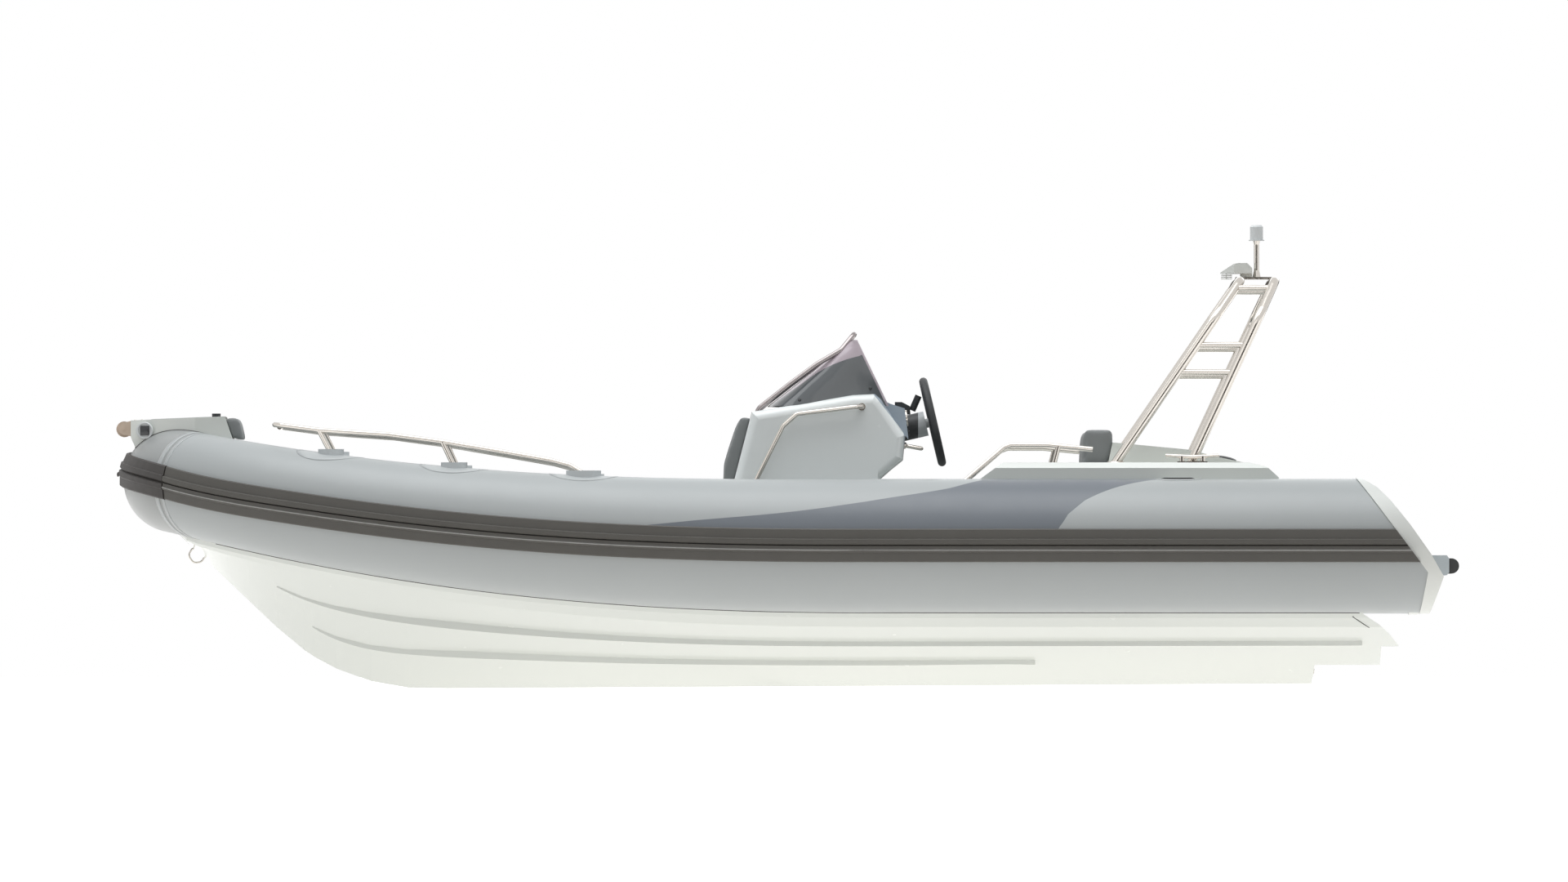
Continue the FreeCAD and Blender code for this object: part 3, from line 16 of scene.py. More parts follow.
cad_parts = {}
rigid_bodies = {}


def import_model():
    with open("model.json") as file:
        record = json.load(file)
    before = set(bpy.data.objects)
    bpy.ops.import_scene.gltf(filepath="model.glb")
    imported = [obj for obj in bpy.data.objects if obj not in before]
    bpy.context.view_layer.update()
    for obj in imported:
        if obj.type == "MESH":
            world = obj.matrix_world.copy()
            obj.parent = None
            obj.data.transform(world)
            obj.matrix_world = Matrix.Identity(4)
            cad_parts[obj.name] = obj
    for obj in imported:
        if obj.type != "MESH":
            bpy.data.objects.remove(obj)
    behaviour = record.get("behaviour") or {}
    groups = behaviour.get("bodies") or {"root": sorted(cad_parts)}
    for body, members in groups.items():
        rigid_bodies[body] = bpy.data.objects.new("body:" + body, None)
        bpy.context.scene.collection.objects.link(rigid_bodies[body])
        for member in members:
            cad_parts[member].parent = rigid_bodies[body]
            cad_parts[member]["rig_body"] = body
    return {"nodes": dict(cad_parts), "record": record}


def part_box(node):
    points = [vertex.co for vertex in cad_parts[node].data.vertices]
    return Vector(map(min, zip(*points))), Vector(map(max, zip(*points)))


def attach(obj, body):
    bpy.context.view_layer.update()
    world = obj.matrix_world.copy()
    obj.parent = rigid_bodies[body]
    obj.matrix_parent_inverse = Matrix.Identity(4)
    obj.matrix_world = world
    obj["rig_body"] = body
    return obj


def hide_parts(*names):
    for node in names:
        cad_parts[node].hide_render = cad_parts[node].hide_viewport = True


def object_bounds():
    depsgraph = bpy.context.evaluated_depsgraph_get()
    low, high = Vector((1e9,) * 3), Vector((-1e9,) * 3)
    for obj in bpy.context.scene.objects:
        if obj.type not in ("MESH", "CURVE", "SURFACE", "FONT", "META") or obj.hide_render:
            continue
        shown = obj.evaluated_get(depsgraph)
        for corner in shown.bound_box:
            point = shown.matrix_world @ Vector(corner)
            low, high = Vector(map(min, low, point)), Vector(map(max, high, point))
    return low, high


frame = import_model()
cad_low, cad_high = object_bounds()
nodes = frame["nodes"]
scene = bpy.context.scene
AHEAD, ASTERN = Vector((1, 0, 0)), Vector((-1, 0, 0))
UP, DOWN = Vector((0, 0, 1)), Vector((0, 0, -1))
LEFT = Vector((0, -1, 0))
PORT, STARBOARD = 1, -1
print("loaded", len(nodes), "nodes")

# %% [markdown]
# ## The camera
# The photograph is a side view from port through a long lens, so lines that run across the boat hardly
# converge. A lens of the right length at a hundred metres gives the same view. It looks from just above
# the floor, and tilts up a little instead of shifting its frame.

# %% Camera
PICTURE_WIDTH = 6.79
PICTURE_CENTRE = Vector((0.0106, 0, 0.7915))
CAMERA_PLACE = Vector((PICTURE_CENTRE.x, 100, -0.2))

lens = bpy.data.cameras.new("side_view")
lens.lens = lens.sensor_width * CAMERA_PLACE.y / PICTURE_WIDTH
lens.clip_end = 300
camera = bpy.data.objects.new("side_view", lens)
camera.location = CAMERA_PLACE
camera.rotation_euler = (PICTURE_CENTRE - CAMERA_PLACE).to_track_quat("-Z", "Y").to_euler()
scene.collection.objects.link(camera)
scene.camera = camera
print("lens of %.0f mm" % lens.lens)

# %% [markdown]
# ## Maths on sockets
# A finish is a small network of nodes. Written out node by node it is hard to read, so a socket gets a
# wrapper that Python's arithmetic works on: mask * 0.3 adds a Math node and gives its output.

# %% A socket with arithmetic


class Sock:
    """A socket of a finish, with the arithmetic that a Math node does."""

    def __init__(self, finish, socket):
        self.finish = finish
        self.socket = socket

    def math(self, operation, other=0.0, swapped=False):
        one, two = (other, self) if swapped else (self, other)
        return self.finish.node("ShaderNodeMath", {"operation": operation}, {0: one, 1: two})

    def __add__(self, other):
        return self.math("ADD", other)

    def __sub__(self, other):
        return self.math("SUBTRACT", other)

    def __rsub__(self, other):
        return self.math("SUBTRACT", other, swapped=True)

    def __mul__(self, other):
        return self.math("MULTIPLY", other)

    def __truediv__(self, other):
        return self.math("DIVIDE", other)

    def __gt__(self, other):
        return self.math("GREATER_THAN", other)

    def __lt__(self, other):
        return self.math("LESS_THAN", other)

    __radd__ = __add__
    __rmul__ = __mul__


print("sockets can be added, multiplied and compared")

# %% [markdown]
# Every other node comes from one method of the network, which sets the node first and then its sockets.
# Colour ramps need their stops made one by one, so the method takes them as a list.

# %% A network of nodes


class Network:
    """The nodes of a material or a world, added one at a time."""

    def __init__(self, tree):
        self.tree = tree

    def feed(self, value, socket):
        if isinstance(value, Sock):
            self.tree.links.new(value.socket, socket)
        else:
            socket.default_value = value

    def node(self, kind, settings=None, values=None, output=0):
        made = self.tree.nodes.new(kind)
        for name, value in (settings or {}).items():
            if name == "stops":
                ramp = made.color_ramp.elements
                while len(ramp) < len(value):
                    ramp.new(0.5)
                for stop, (position, color) in zip(ramp, value):
                    stop.position = position
                    stop.color = color
            elif name == "interpolation":
                made.color_ramp.interpolation = value
            else:
                setattr(made, name, value)
        for name, value in (values or {}).items():
            self.feed(value, made.inputs[name])
        return Sock(self, made.outputs[output])

    def place(self):
        return self.node("ShaderNodeTexCoord", output="Object")

    def axis(self, name, of=None):
        return self.node("ShaderNodeSeparateXYZ", values={0: of or self.place()}, output=name)


print("nodes come from one method")

# %% [markdown]
# A finish starts from a colour and a roughness. Real surfaces are never quite even, so each finish moves
# both a little with noise, and adds relief in metres, which has the right scale on every piece.

# %% A material under construction


class Finish(Network):
    """A material under construction: its nodes, and what feeds its shader."""

    def __init__(self, name, color, roughness, **shader):
        self.material = bpy.data.materials.new(name)
        self.material.use_nodes = True
        super().__init__(self.material.node_tree)
        self.shader = self.tree.nodes["Principled BSDF"]
        self.color = (*color, 1.0)
        self.set("Base Color", self.color)
        self.set("Roughness", roughness)
        for socket, number in shader.items():
            self.set(socket.replace("_", " "), number)
        self.height = None

    def set(self, socket, value):
        self.feed(value, self.shader.inputs[socket])

    def facing(self, name):
        """How far the surface faces along an axis of the boat, from -1 to 1."""
        return self.axis(name, self.node("ShaderNodeNewGeometry", output="Normal"))

    def noise(self, scale, detail=3.0, stretch=None):
        place = self.place()
        if stretch:
            place = self.node("ShaderNodeMapping", values={"Vector": place, "Scale": stretch})
        return self.node("ShaderNodeTexNoise", values={"Vector": place, "Scale": scale, "Detail": detail},
                         output="Fac")

    def cells(self, scale):
        return self.node("ShaderNodeTexVoronoi", values={"Vector": self.place(), "Scale": scale},
                         output="Distance")

    def smooth(self, value, low, high):
        """0 below low, 1 above high, and a smooth step between."""
        return self.node("ShaderNodeMapRange", {"interpolation_type": "SMOOTHSTEP"},
                         {"Value": value, "From Min": low, "From Max": high}, output="Result")

    def mix(self, share, one, two):
        return self.node("ShaderNodeMix", {"data_type": "RGBA"},
                         {"Factor": share, 6: one, 7: two}, output=2)

    def vary(self, share, amount):
        """The base colour, lighter and darker by a share of itself where a value rises and falls."""
        low = tuple(part * (1 - amount) for part in self.color[:3]) + (1.0,)
        high = tuple(min(1.0, part * (1 + amount)) for part in self.color[:3]) + (1.0,)
        return self.mix(share, low, high)

    def worn(self, cloud, amount, rub, low, span):
        """Uneven colour and gloss: cloud moves the colour, and rub the roughness from low by span."""
        self.cloudy = self.vary(cloud, amount)
        self.set("Base Color", self.cloudy)
        self.set("Roughness", rub * span + low)

    def raise_by(self, height, depth):
        """Relief: height is 0 to 1, depth its size in metres. Further relief adds to it."""
        relief = height * depth
        self.height = relief if self.height is None else self.height + relief
        return self

    def done(self):
        if self.height is not None:
            self.set("Normal", self.node("ShaderNodeBump", values={"Height": self.height, "Distance": 1.0},
                                         output="Normal"))
        return self.material


print("finishes can be started")

# %% [markdown]
# ## The studio
# Rays from the camera, and those in metal or glass, see a white world, while the light that falls on the
# boat is a soft even sky, brighter overhead.

# %% Sky
SKY_LIGHT = (0.93, 0.97, 1.0, 1)
SKY_HORIZON, SKY_RISE = 0.1, 0.85
WHITE = (1, 1, 1, 1)

scene.view_settings.view_transform = "Standard"


def see_white(finish):
    """1 for the rays that should meet a white background."""
    rays = finish.tree.nodes.new("ShaderNodeLightPath").outputs
    seen = Sock(finish, rays["Is Camera Ray"])
    for name in ("Is Glossy Ray", "Is Transmission Ray"):
        seen = seen.math("MAXIMUM", Sock(finish, rays[name]))
    return seen


world = bpy.data.worlds.new("studio")
world.use_nodes = True
scene.world = world
sky = Network(world.node_tree)
climb = sky.axis("Z", sky.node("ShaderNodeTexCoord", output="Generated")).math("MAXIMUM", 0)
strength = climb * SKY_RISE + SKY_HORIZON
light = sky.node("ShaderNodeBackground", values={"Color": SKY_LIGHT, "Strength": strength})
white = sky.node("ShaderNodeBackground", values={"Color": WHITE, "Strength": 1.0})
mixed = sky.node("ShaderNodeMixShader", values={0: see_white(sky), 1: light, 2: white})
sky.tree.links.new(mixed.socket, world.node_tree.nodes["World Output"].inputs["Surface"])
print("sky of strength %.2f overhead" % (SKY_RISE + SKY_HORIZON))

# %% [markdown]
# A pale floor lies just under the keel, because the boat stands dry in the picture. It mixes a little
# white into its own colour, so that it melts into the background and still keeps the boat's shadow. The
# glow that lights the hull from below is there only close to the boat, as on a light table: further out
# the floor is dark for the light, so that the tubes' sides stay dark.

# %% Floor
FLOOR_GAP = 0.003
FLOOR_SIZE = 300
FLOOR_COLOR = (0.86, 0.83, 0.79)
DARK_FLOOR = (0.13, 0.10, 0.08, 1)
GLOW = 2.4
GLOW_FROM, GLOW_TO = 1.5, 3.0
SEEN_NEAR, SEEN_FAR = 0.32, 0.67
LIT_NEAR = 0.27


def studio_sheet(name, length, height, matrix, material):
    """A rectangle that belongs to the studio, not to the boat."""
    bm = bmesh.new()
    bmesh.ops.create_grid(bm, x_segments=1, y_segments=1, size=0.5)
    bmesh.ops.scale(bm, vec=(length, height, 1), verts=bm.verts)
    bmesh.ops.transform(bm, matrix=matrix, verts=bm.verts)
    mesh = bpy.data.meshes.new(name)
    bm.to_mesh(mesh)
    bm.free()
    mesh.materials.append(material)
    made = bpy.data.objects.new(name, mesh)
    scene.collection.objects.link(made)
    return made


def glowing_floor():
    """Pale paint with a white glow: even for the camera, and only near the boat for the light."""
    paint = Finish("pale_floor", FLOOR_COLOR, 0.9)
    far = paint.smooth(paint.axis("Y").math("ABSOLUTE"), GLOW_FROM, GLOW_TO)
    paint.set("Base Color", paint.mix(far, (*FLOOR_COLOR, 1), DARK_FLOOR))
    seen = see_white(paint)
    share = seen * (far * (SEEN_FAR - SEEN_NEAR) + SEEN_NEAR) + (1 - seen) * (1 - far) * LIT_NEAR
    glow = paint.node("ShaderNodeEmission", values={"Color": WHITE, "Strength": GLOW})
    mixed = paint.node("ShaderNodeMixShader",
                       values={0: share, 1: Sock(paint, paint.shader.outputs[0]), 2: glow})
    paint.tree.links.new(mixed.socket, paint.tree.nodes["Material Output"].inputs["Surface"])
    return paint.material


floor_z = cad_low.z - FLOOR_GAP
studio_sheet("floor", FLOOR_SIZE, FLOOR_SIZE, Matrix.Translation((0, 0, floor_z)), glowing_floor())
print("floor at z %.3f" % floor_z)

# %% [markdown]
# Three broad lamps add direction to the sky's even light: the main one hangs overhead, and two weaker
# ones stand on either side.

# %% Lamps
LAMPS = (("top_lamp", (0.5, 1.5, 7), (0, 0, 0.3), (9, 5), 330, (0.97, 0.99, 1.0)),
         ("side_lamp", (1.5, 9, 4.2), (0, 0, 0.3), (8, 3), 40, (1.0, 0.98, 0.95)),
         ("far_lamp", (-2.5, -8, 4), (0, 0, 0.4), (7, 3), 60, (0.95, 0.98, 1.0)))
for name, place, target, size, watts, color in LAMPS:
    data = bpy.data.lights.new(name, "AREA")
    data.shape = "RECTANGLE"
    data.size, data.size_y = size
    data.energy = watts
    data.color = color
    made = bpy.data.objects.new(name, data)
    made.location = place
    made.rotation_euler = (Vector(target) - Vector(place)).to_track_quat("-Z", "Y").to_euler()
    scene.collection.objects.link(made)
print("hung", len(LAMPS), "lamps")

# %% [markdown]
# Polished tube in an all-white room shows no shape. A photographer stands dark cards beside a set for
# this: they lie outside the picture, and every tube mirrors them as a dark line. These two are seen by
# reflections only, so they take no light from the boat.

# %% Dark cards
CARD_DISTANCE = 9
CARD_LENGTH = 16
CARD_LOW, CARD_HIGH = -0.1, 2.3
CARD_COLOR = (0.10, 0.085, 0.07)
UPRIGHT = Matrix.Rotation(math.radians(90), 4, "X")
for name, side in (("near_card", PORT), ("far_card", STARBOARD)):
    stand = Matrix.Translation((0, side * CARD_DISTANCE, (CARD_LOW + CARD_HIGH) / 2)) @ UPRIGHT
    paint = Finish(name, CARD_COLOR, 0.9).material
    card = studio_sheet(name, CARD_LENGTH, CARD_HIGH - CARD_LOW, stand, paint)
    card.visible_camera = False
    card.visible_diffuse = False
    card.visible_shadow = False
    card.visible_transmission = False
print("cards stand at %.0f m" % CARD_DISTANCE)

# %% [markdown]
# ## Finishes
# The tubes are coated fabric: woven polyester under a satin skin. It could be one flat grey, but the real
# one catches light at grazing angles, shows a fine tooth from close by and slow waves from further away.
# Sheen gives the first, and noise of two sizes the others.

# %% Coated fabric


def coated_fabric(name, color):
    paint = Finish(name, color, 0.4, Sheen_Weight=0.5, Sheen_Roughness=0.22, Specular_IOR_Level=0.7)
    paint.worn(paint.noise(2.2, 4), 0.03, paint.noise(9, 2), 0.34, 0.12)
    paint.raise_by(paint.noise(420, 2), 0.00006)
    paint.raise_by(paint.noise(7, 2), 0.0006)
    return paint


print("coated fabric ready")

# %% [markdown]
# A dark sweep runs from the rub rail over the tube's crest. Its border is a smooth curve through a few
# points, each a place along the boat and a height. A colour ramp with spline interpolation looks the
# height up, so the border stays sharp at any distance, as no painted image would.

# %% The sweep on the tubes
SWOOSH = (0.14, 0.158, 0.182, 1)
RAIL_LINE_Z = 0.406
RAIL_OVERLAP = 0.02
CREST_Z = 0.621
TRACK_Y = 0.870
BORDER_BLUR = 0.001
SWOOSH_TOP = ((-0.838, 0.621), (-0.702, 0.577), (-0.522, 0.550), (-0.342, 0.523), (-0.116, 0.487),
              (0.110, 0.464), (0.380, 0.442), (0.603, 0.420), (0.80, 0.400))
SWOOSH_END = ((-1.609, 0.621), (-1.492, 0.604), (-1.386, 0.577), (-1.280, 0.530), (-1.206, 0.466),
              (-1.169, 0.408), (-1.150, 0.380))


def edge_curve(paint, along, points):
    """The height of a border drawn through points, looked up at a place along the boat."""
    first, last = points[0][0], points[-1][0]
    levels = [z for x, z in points]
    low, span = min(levels), max(levels) - min(levels)
    share = (along - first) / (last - first)
    stops = [((x - first) / (last - first), (*[(z - low) / span] * 3, 1)) for x, z in points]
    curve = paint.node("ShaderNodeValToRGB", {"stops": stops, "interpolation": "B_SPLINE"}, {"Fac": share})
    return paint.node("ShaderNodeSeparateColor", values={0: curve}, output=0) * span + low


def tube_fabric(name, color):
    """Light fabric with the dark sweep on its outer side and over its crest."""
    paint = coated_fabric(name, color)
    along = paint.axis("X")
    level = paint.axis("Z")
    outside = paint.axis("Y").math("ABSOLUTE") > TRACK_Y
    level = level * outside + (1 - outside) * CREST_Z
    below_top = paint.smooth(edge_curve(paint, along, SWOOSH_TOP) - level, -BORDER_BLUR, BORDER_BLUR)
    above_end = paint.smooth(level - edge_curve(paint, along, SWOOSH_END), -BORDER_BLUR, BORDER_BLUR)
    ahead = along > SWOOSH_TOP[0][0]
    behind = along < SWOOSH_END[-1][0]
    inside = (below_top * ahead + (1 - ahead)) * (above_end * behind + (1 - behind))
    inside = inside * (level > RAIL_LINE_Z - RAIL_OVERLAP)
    inside = inside * (along > SWOOSH_END[0][0]) * (along < SWOOSH_TOP[-1][0])
    paint.set("Base Color", paint.mix(inside, paint.cloudy, SWOOSH))
    return paint.done()


print("sweep of %.2f m" % (SWOOSH_TOP[-1][0] - SWOOSH_END[0][0]))

# %% [markdown]
# Hull, deck and console are gelcoat: a coloured resin skin with a clear gloss and faint waves from the
# mould. Where one walks, the mould has a fine diamond pattern. Two sine waves across each other make it,
# and a mask keeps it to surfaces that face up. The transom's plywood shows a trace of its glass cloth.

# %% Gelcoat and painted plywood
DIAMONDS = 330
DIAMOND_DEPTH = 0.0005
CLOTH_WAVES = 900


def gelcoat(name, color, roughness=0.2):
    paint = Finish(name, color, roughness, Coat_Weight=0.5, Coat_Roughness=0.06)
    paint.worn(paint.noise(1.6, 4), 0.015, paint.noise(14, 3), roughness, 0.1)
    paint.raise_by(paint.noise(45, 1), 0.00008)
    return paint


def moulding(name, color):
    """Gelcoat whose flat walkable tops have a fine diamond non-slip."""
    paint = gelcoat(name, color, 0.3)
    along = paint.axis("X") * DIAMONDS
    athwart = paint.axis("Y") * DIAMONDS
    ridges = (along + athwart).math("SINE").math("ABSOLUTE") * (along - athwart).math("SINE").math("ABSOLUTE")
    flat = paint.smooth(paint.facing("Z"), 0.93, 0.97)
    return paint.raise_by(ridges * flat, DIAMOND_DEPTH)


def timber_core(name, color):
    """Painted plywood under a thin glass skin, with a trace of its cloth showing."""
    paint = gelcoat(name, color, 0.32)
    weave = (paint.axis("Y") * CLOTH_WAVES).math("SINE") * (paint.axis("Z") * CLOTH_WAVES).math("SINE")
    return paint.raise_by(weave * 0.5 + 0.5, 0.00012)


print("gelcoat ready")

# %% [markdown]
# The other finishes differ in scale and gloss. Rubber is dull and blotchy, stainless tube has fine marks
# along its length, moulded plastic has a spark-eroded grain, and marine vinyl is pebbled.

# %% Rubber, steel, plastic and vinyl


def rubber(name, color, roughness=0.55):
    paint = Finish(name, color, roughness)
    paint.worn(paint.noise(5, 5), 0.12, paint.noise(30, 3), roughness - 0.08, 0.18)
    return paint.raise_by(paint.noise(260, 3), 0.00009)


def polished_steel(name, color=(0.62, 0.585, 0.54)):
    paint = Finish(name, color, 0.16, Metallic=1.0)
    paint.worn(paint.noise(6, 3), 0.06, paint.noise(60, 4, (1, 1, 0.2)), 0.1, 0.14)
    return paint.raise_by(paint.noise(300, 1), 0.000002)


def plastic(name, color, roughness=0.38, grain=0.00006):
    paint = Finish(name, color, roughness)
    paint.worn(paint.noise(7, 3), 0.05, paint.noise(24, 3), roughness - 0.04, 0.12)
    return paint.raise_by(paint.noise(700, 2), grain)


def vinyl(name, color):
    paint = Finish(name, color, 0.5, Sheen_Weight=0.15)
    paint.worn(paint.noise(6, 4), 0.08, paint.noise(11, 3), 0.42, 0.16)
    paint.raise_by(paint.cells(520), 0.00022)
    return paint.raise_by(paint.noise(60, 3), 0.0002)


print("fittings' finishes ready")

# %% [markdown]
# The windshield is one bent sheet of acrylic with a faint rose tint, printed grey on its inside below a
# curved border, and clear along its aft edge. Two panes would show a joint, so the print is a mask.

# %% Printed acrylic
PRINT_TOP = ((0.082, 0.925), (-0.062, 1.041), (-0.179, 1.114), (-0.314, 1.163), (-0.36, 1.170))
PRINT_GREY = (0.135, 0.145, 0.152)
CLEAR_TINT = (0.62, 0.53, 0.58, 1)
CLEAR_ALPHA, PRINT_ALPHA = 0.76, 0.98
SCREEN_BACK = Vector((-0.441, 0, 0.943))
SCREEN_LEAN = 0.478
SCREEN_TRIM = 0.010


def acrylic(name):
    paint = Finish(name, PRINT_GREY, 0.06, IOR=1.49)
    along = paint.axis("X")
    level = paint.axis("Z")
    below = paint.smooth(edge_curve(paint, along, PRINT_TOP) - level, -BORDER_BLUR, BORDER_BLUR)
    back = (level - SCREEN_BACK.z) * SCREEN_LEAN + SCREEN_BACK.x + SCREEN_TRIM
    printed = below * paint.smooth(along - back, -BORDER_BLUR, BORDER_BLUR)
    grey = paint.vary(paint.noise(4, 3), 0.05)
    paint.set("Base Color", paint.mix(printed, CLEAR_TINT, grey))
    paint.set("Alpha", printed * (PRINT_ALPHA - CLEAR_ALPHA) + CLEAR_ALPHA)
    paint.set("Roughness", paint.noise(40, 3) * 0.05 + 0.04)
    return paint


print("acrylic ready")

# %% [markdown]
# Each solid of the boat names the kind of material that it is made of. One finish per kind is enough, and
# goes onto all its solids.

# %% Finishes onto the solids
BLACK = (0.026, 0.029, 0.031)

finishes = {
    "tube_fabric": tube_fabric("coated_fabric_light", (0.40, 0.42, 0.42)),
    "bow_fabric": coated_fabric("coated_fabric_mid", (0.335, 0.345, 0.34)).done(),
    "cap_white": plastic("moulded_white", (0.745, 0.755, 0.72), 0.34).done(),
    "rubber_dark": rubber("rub_rail_rubber", (0.088, 0.083, 0.074)).done(),
    "guard_rubber": rubber("guard_rubber", (0.042, 0.037, 0.034)).done(),
    "gelcoat": gelcoat("white_gelcoat", (0.775, 0.795, 0.755)).done(),
    "deck_gelcoat": moulding("non_slip_gelcoat", (0.73, 0.75, 0.74)).done(),
    "steel": polished_steel("polished_steel").done(),
    "cushion": vinyl("marine_vinyl", (0.205, 0.215, 0.215)).done(),
    "black_plastic": plastic("black_plastic", BLACK).done(),
    "acrylic": acrylic("printed_acrylic").done(),
    "lamp_lens": plastic("lamp_white", (0.70, 0.72, 0.72), 0.36, 0.00002).done(),
    "roller_rubber": rubber("roller_rubber", (0.62, 0.50, 0.40), 0.5).done(),
    "pad_grey": plastic("pad_grey", (0.64, 0.67, 0.68), 0.42).done(),
    "wheel_black": plastic("wheel_grip", (0.03, 0.033, 0.035), 0.45, 0.0001).done(),
    "marine_ply": timber_core("painted_ply", (0.73, 0.75, 0.72)).done(),
}


def painted(node, material):
    mesh = nodes[node].data
    mesh.materials.clear()
    mesh.materials.append(material)


for part in frame["record"]["subparts"]:
    painted(part["node"], finishes[part["material_slot"]])
print("finishes:", ", ".join(finishes))

# %% [markdown]
# The steering wheel is foam on steel, and the helm's black base carries a light cover. Each is one solid,
# so its finish finds the border by itself: by the distance from the helm's axis, or by the place along it.

# %% Wheel and helm
HELM_AXIS = Vector((-0.97437, 0, 0.22495))
HELM_CENTRE = Vector((-0.633, 0, 0.874))
RIM_INSIDE = 0.158
HELM_COLLAR_X = -0.570
SPOKE_STEEL = (0.62, 0.585, 0.54, 1)
COVER_GREY = (0.50, 0.52, 0.53, 1)


def wheel_finish():
    """Foam grip on the rim, brushed steel inside it."""
    paint = plastic("wheel_finish", (0.028, 0.030, 0.032), 0.5, 0.0001)
    arm = paint.node("ShaderNodeVectorMath", {"operation": "SUBTRACT"}, {0: paint.place(), 1: HELM_CENTRE})
    out = paint.node("ShaderNodeVectorMath", {"operation": "CROSS_PRODUCT"}, {0: arm, 1: HELM_AXIS})
    grip = paint.node("ShaderNodeVectorMath", {"operation": "LENGTH"}, {0: out}, "Value") > RIM_INSIDE
    paint.set("Base Color", paint.mix(grip, SPOKE_STEEL, paint.vary(paint.noise(9, 3), 0.1)))
    paint.set("Metallic", 1 - grip)
    paint.set("Roughness", grip * 0.3 + 0.2 + paint.noise(40, 3) * 0.08)
    return paint.done()


def helm_finish():
    """The black base of the helm, and the light cover of its shaft."""
    paint = plastic("helm_finish", BLACK, 0.4)
    cover = paint.axis("X") < HELM_COLLAR_X
    paint.set("Base Color", paint.mix(cover, paint.cloudy, COVER_GREY))
    return paint.done()


painted("steering_wheel", wheel_finish())
painted("helm_unit", helm_finish())
print("rim starts at radius %.3f" % RIM_INSIDE)

# %% [markdown]
# The console's aft edge shows the blue-grey rim of the dash moulding, and the ladder's rails end in black
# rubber. Both borders are planes, so a comparison with a place along the boat draws them.

# %% Console, ladder and single pieces
EDGE_CORNERS = (Vector((-0.393, 0, 0.988)), Vector((-0.518, 0, 0.830)))
EDGE_WIDTH = 0.012
EDGE_FOOT = 0.705
DASH_BLUE = (0.37, 0.43, 0.49)
LADDER_END_X = -2.812
END_BLACK = (0.03, 0.03, 0.03, 1)


def console_finish():
    """White gelcoat with the blue-grey rim of the dash moulding along its aft edge."""
    paint = gelcoat("console_gelcoat", (0.84, 0.865, 0.855))
    along = paint.axis("X")
    level = paint.axis("Z")
    upper, lower = EDGE_CORNERS
    slope = (lower - upper).normalized()
    past_upper = (along - upper.x) * slope.z - (level - upper.z) * slope.x
    past_lower = lower.x - along
    rim = past_upper.math("MAXIMUM", past_lower) > -EDGE_WIDTH
    rim = rim * (level > EDGE_FOOT)
    paint.set("Base Color", paint.mix(rim, paint.cloudy, (*DASH_BLUE, 1)))
    return paint.done()


def ladder_finish():
    """Steel rails with black rubber over their outer ends."""
    paint = polished_steel("ladder_finish")
    end = paint.axis("X") < LADDER_END_X
    paint.set("Base Color", paint.mix(end, paint.cloudy, END_BLACK))
    paint.set("Metallic", 1 - end)
    paint.set("Roughness", end * 0.35 + 0.16 + paint.noise(30, 3) * 0.05)
    return paint.done()


painted("console", console_finish())
painted("console_dash", plastic("dash_blue_grey", DASH_BLUE, 0.4).done())
painted("boarding_ladder", ladder_finish())
painted("ladder_bracket", plastic("bracket_grey", (0.48, 0.52, 0.54), 0.35).done())
painted("roller_carrier", finishes["roller_rubber"])
# The screen rail gets a darker copy of polished steel: its darker colour is painted shade.
painted("screen_rail", polished_steel("painted_shade_steel", (0.33, 0.30, 0.30)).done())
print("borders drawn")

# %% [markdown]
# ## Helpers for new pieces
# A new piece is shaped with bmesh operators, then becomes an object that rides on a body of the boat.
# Its normals are recalculated once its doubles are merged, and only its sharp edges stay sharp.

# %% Make a piece
SHARP_FROM = math.radians(35)
DOUBLES = 1e-6


def piece(name, mesh, slot, body="boat", finish=None):
    for face in mesh.polygons:
        face.use_smooth = True
    mesh.set_sharp_from_angle(angle=SHARP_FROM)
    made = bpy.data.objects.new(name, mesh)
    scene.collection.objects.link(made)
    if not mesh.materials:
        mesh.materials.append(finishes[finish or slot])
    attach(made, body)
    return made


def mesh_from(bm, name):
    bmesh.ops.remove_doubles(bm, verts=bm.verts, dist=DOUBLES)
    bmesh.ops.recalc_face_normals(bm, faces=bm.faces)
    mesh = bpy.data.meshes.new(name)
    bm.to_mesh(mesh)
    bm.free()
    return mesh


print("pieces can be made")

# %% [markdown]
# Two shapes come back often. A screw, a ring or a knob is a profile spun round an axis, as on a lathe, and
# a hatch or a pad is an outline that gets a thickness, as cut from sheet.

# %% Spin a profile, thicken an outline
EDGE_SEGMENTS = 2


def aimed(place, way):
    """The matrix that puts the z axis of a small part along way, at a place."""
    return Matrix.Translation(place) @ Vector(way).to_track_quat("Z", "Y").to_matrix().to_4x4()


def spun(bm, profile, place, way, steps):
    """A closed profile of (radius, height) points, turned round an axis."""
    new = [bm.verts.new((radius, 0, height)) for radius, height in profile]
    edges = [bm.edges.new(ends) for ends in zip(new, new[1:])]
    made = bmesh.ops.spin(bm, geom=new + edges, axis=(0, 0, 1), cent=(0, 0, 0), angle=math.tau, steps=steps,
                          use_merge=True)
    verts = set(new) | {item for item in made["geom_last"] if isinstance(item, bmesh.types.BMVert)}
    reached = set(verts)
    while verts:
        verts = {edge.other_vert(vert) for vert in verts for edge in vert.link_edges} - reached
        reached |= verts
    bmesh.ops.transform(bm, matrix=aimed(place, way), verts=list(reached))
    bmesh.ops.remove_doubles(bm, verts=bm.verts, dist=DOUBLES)


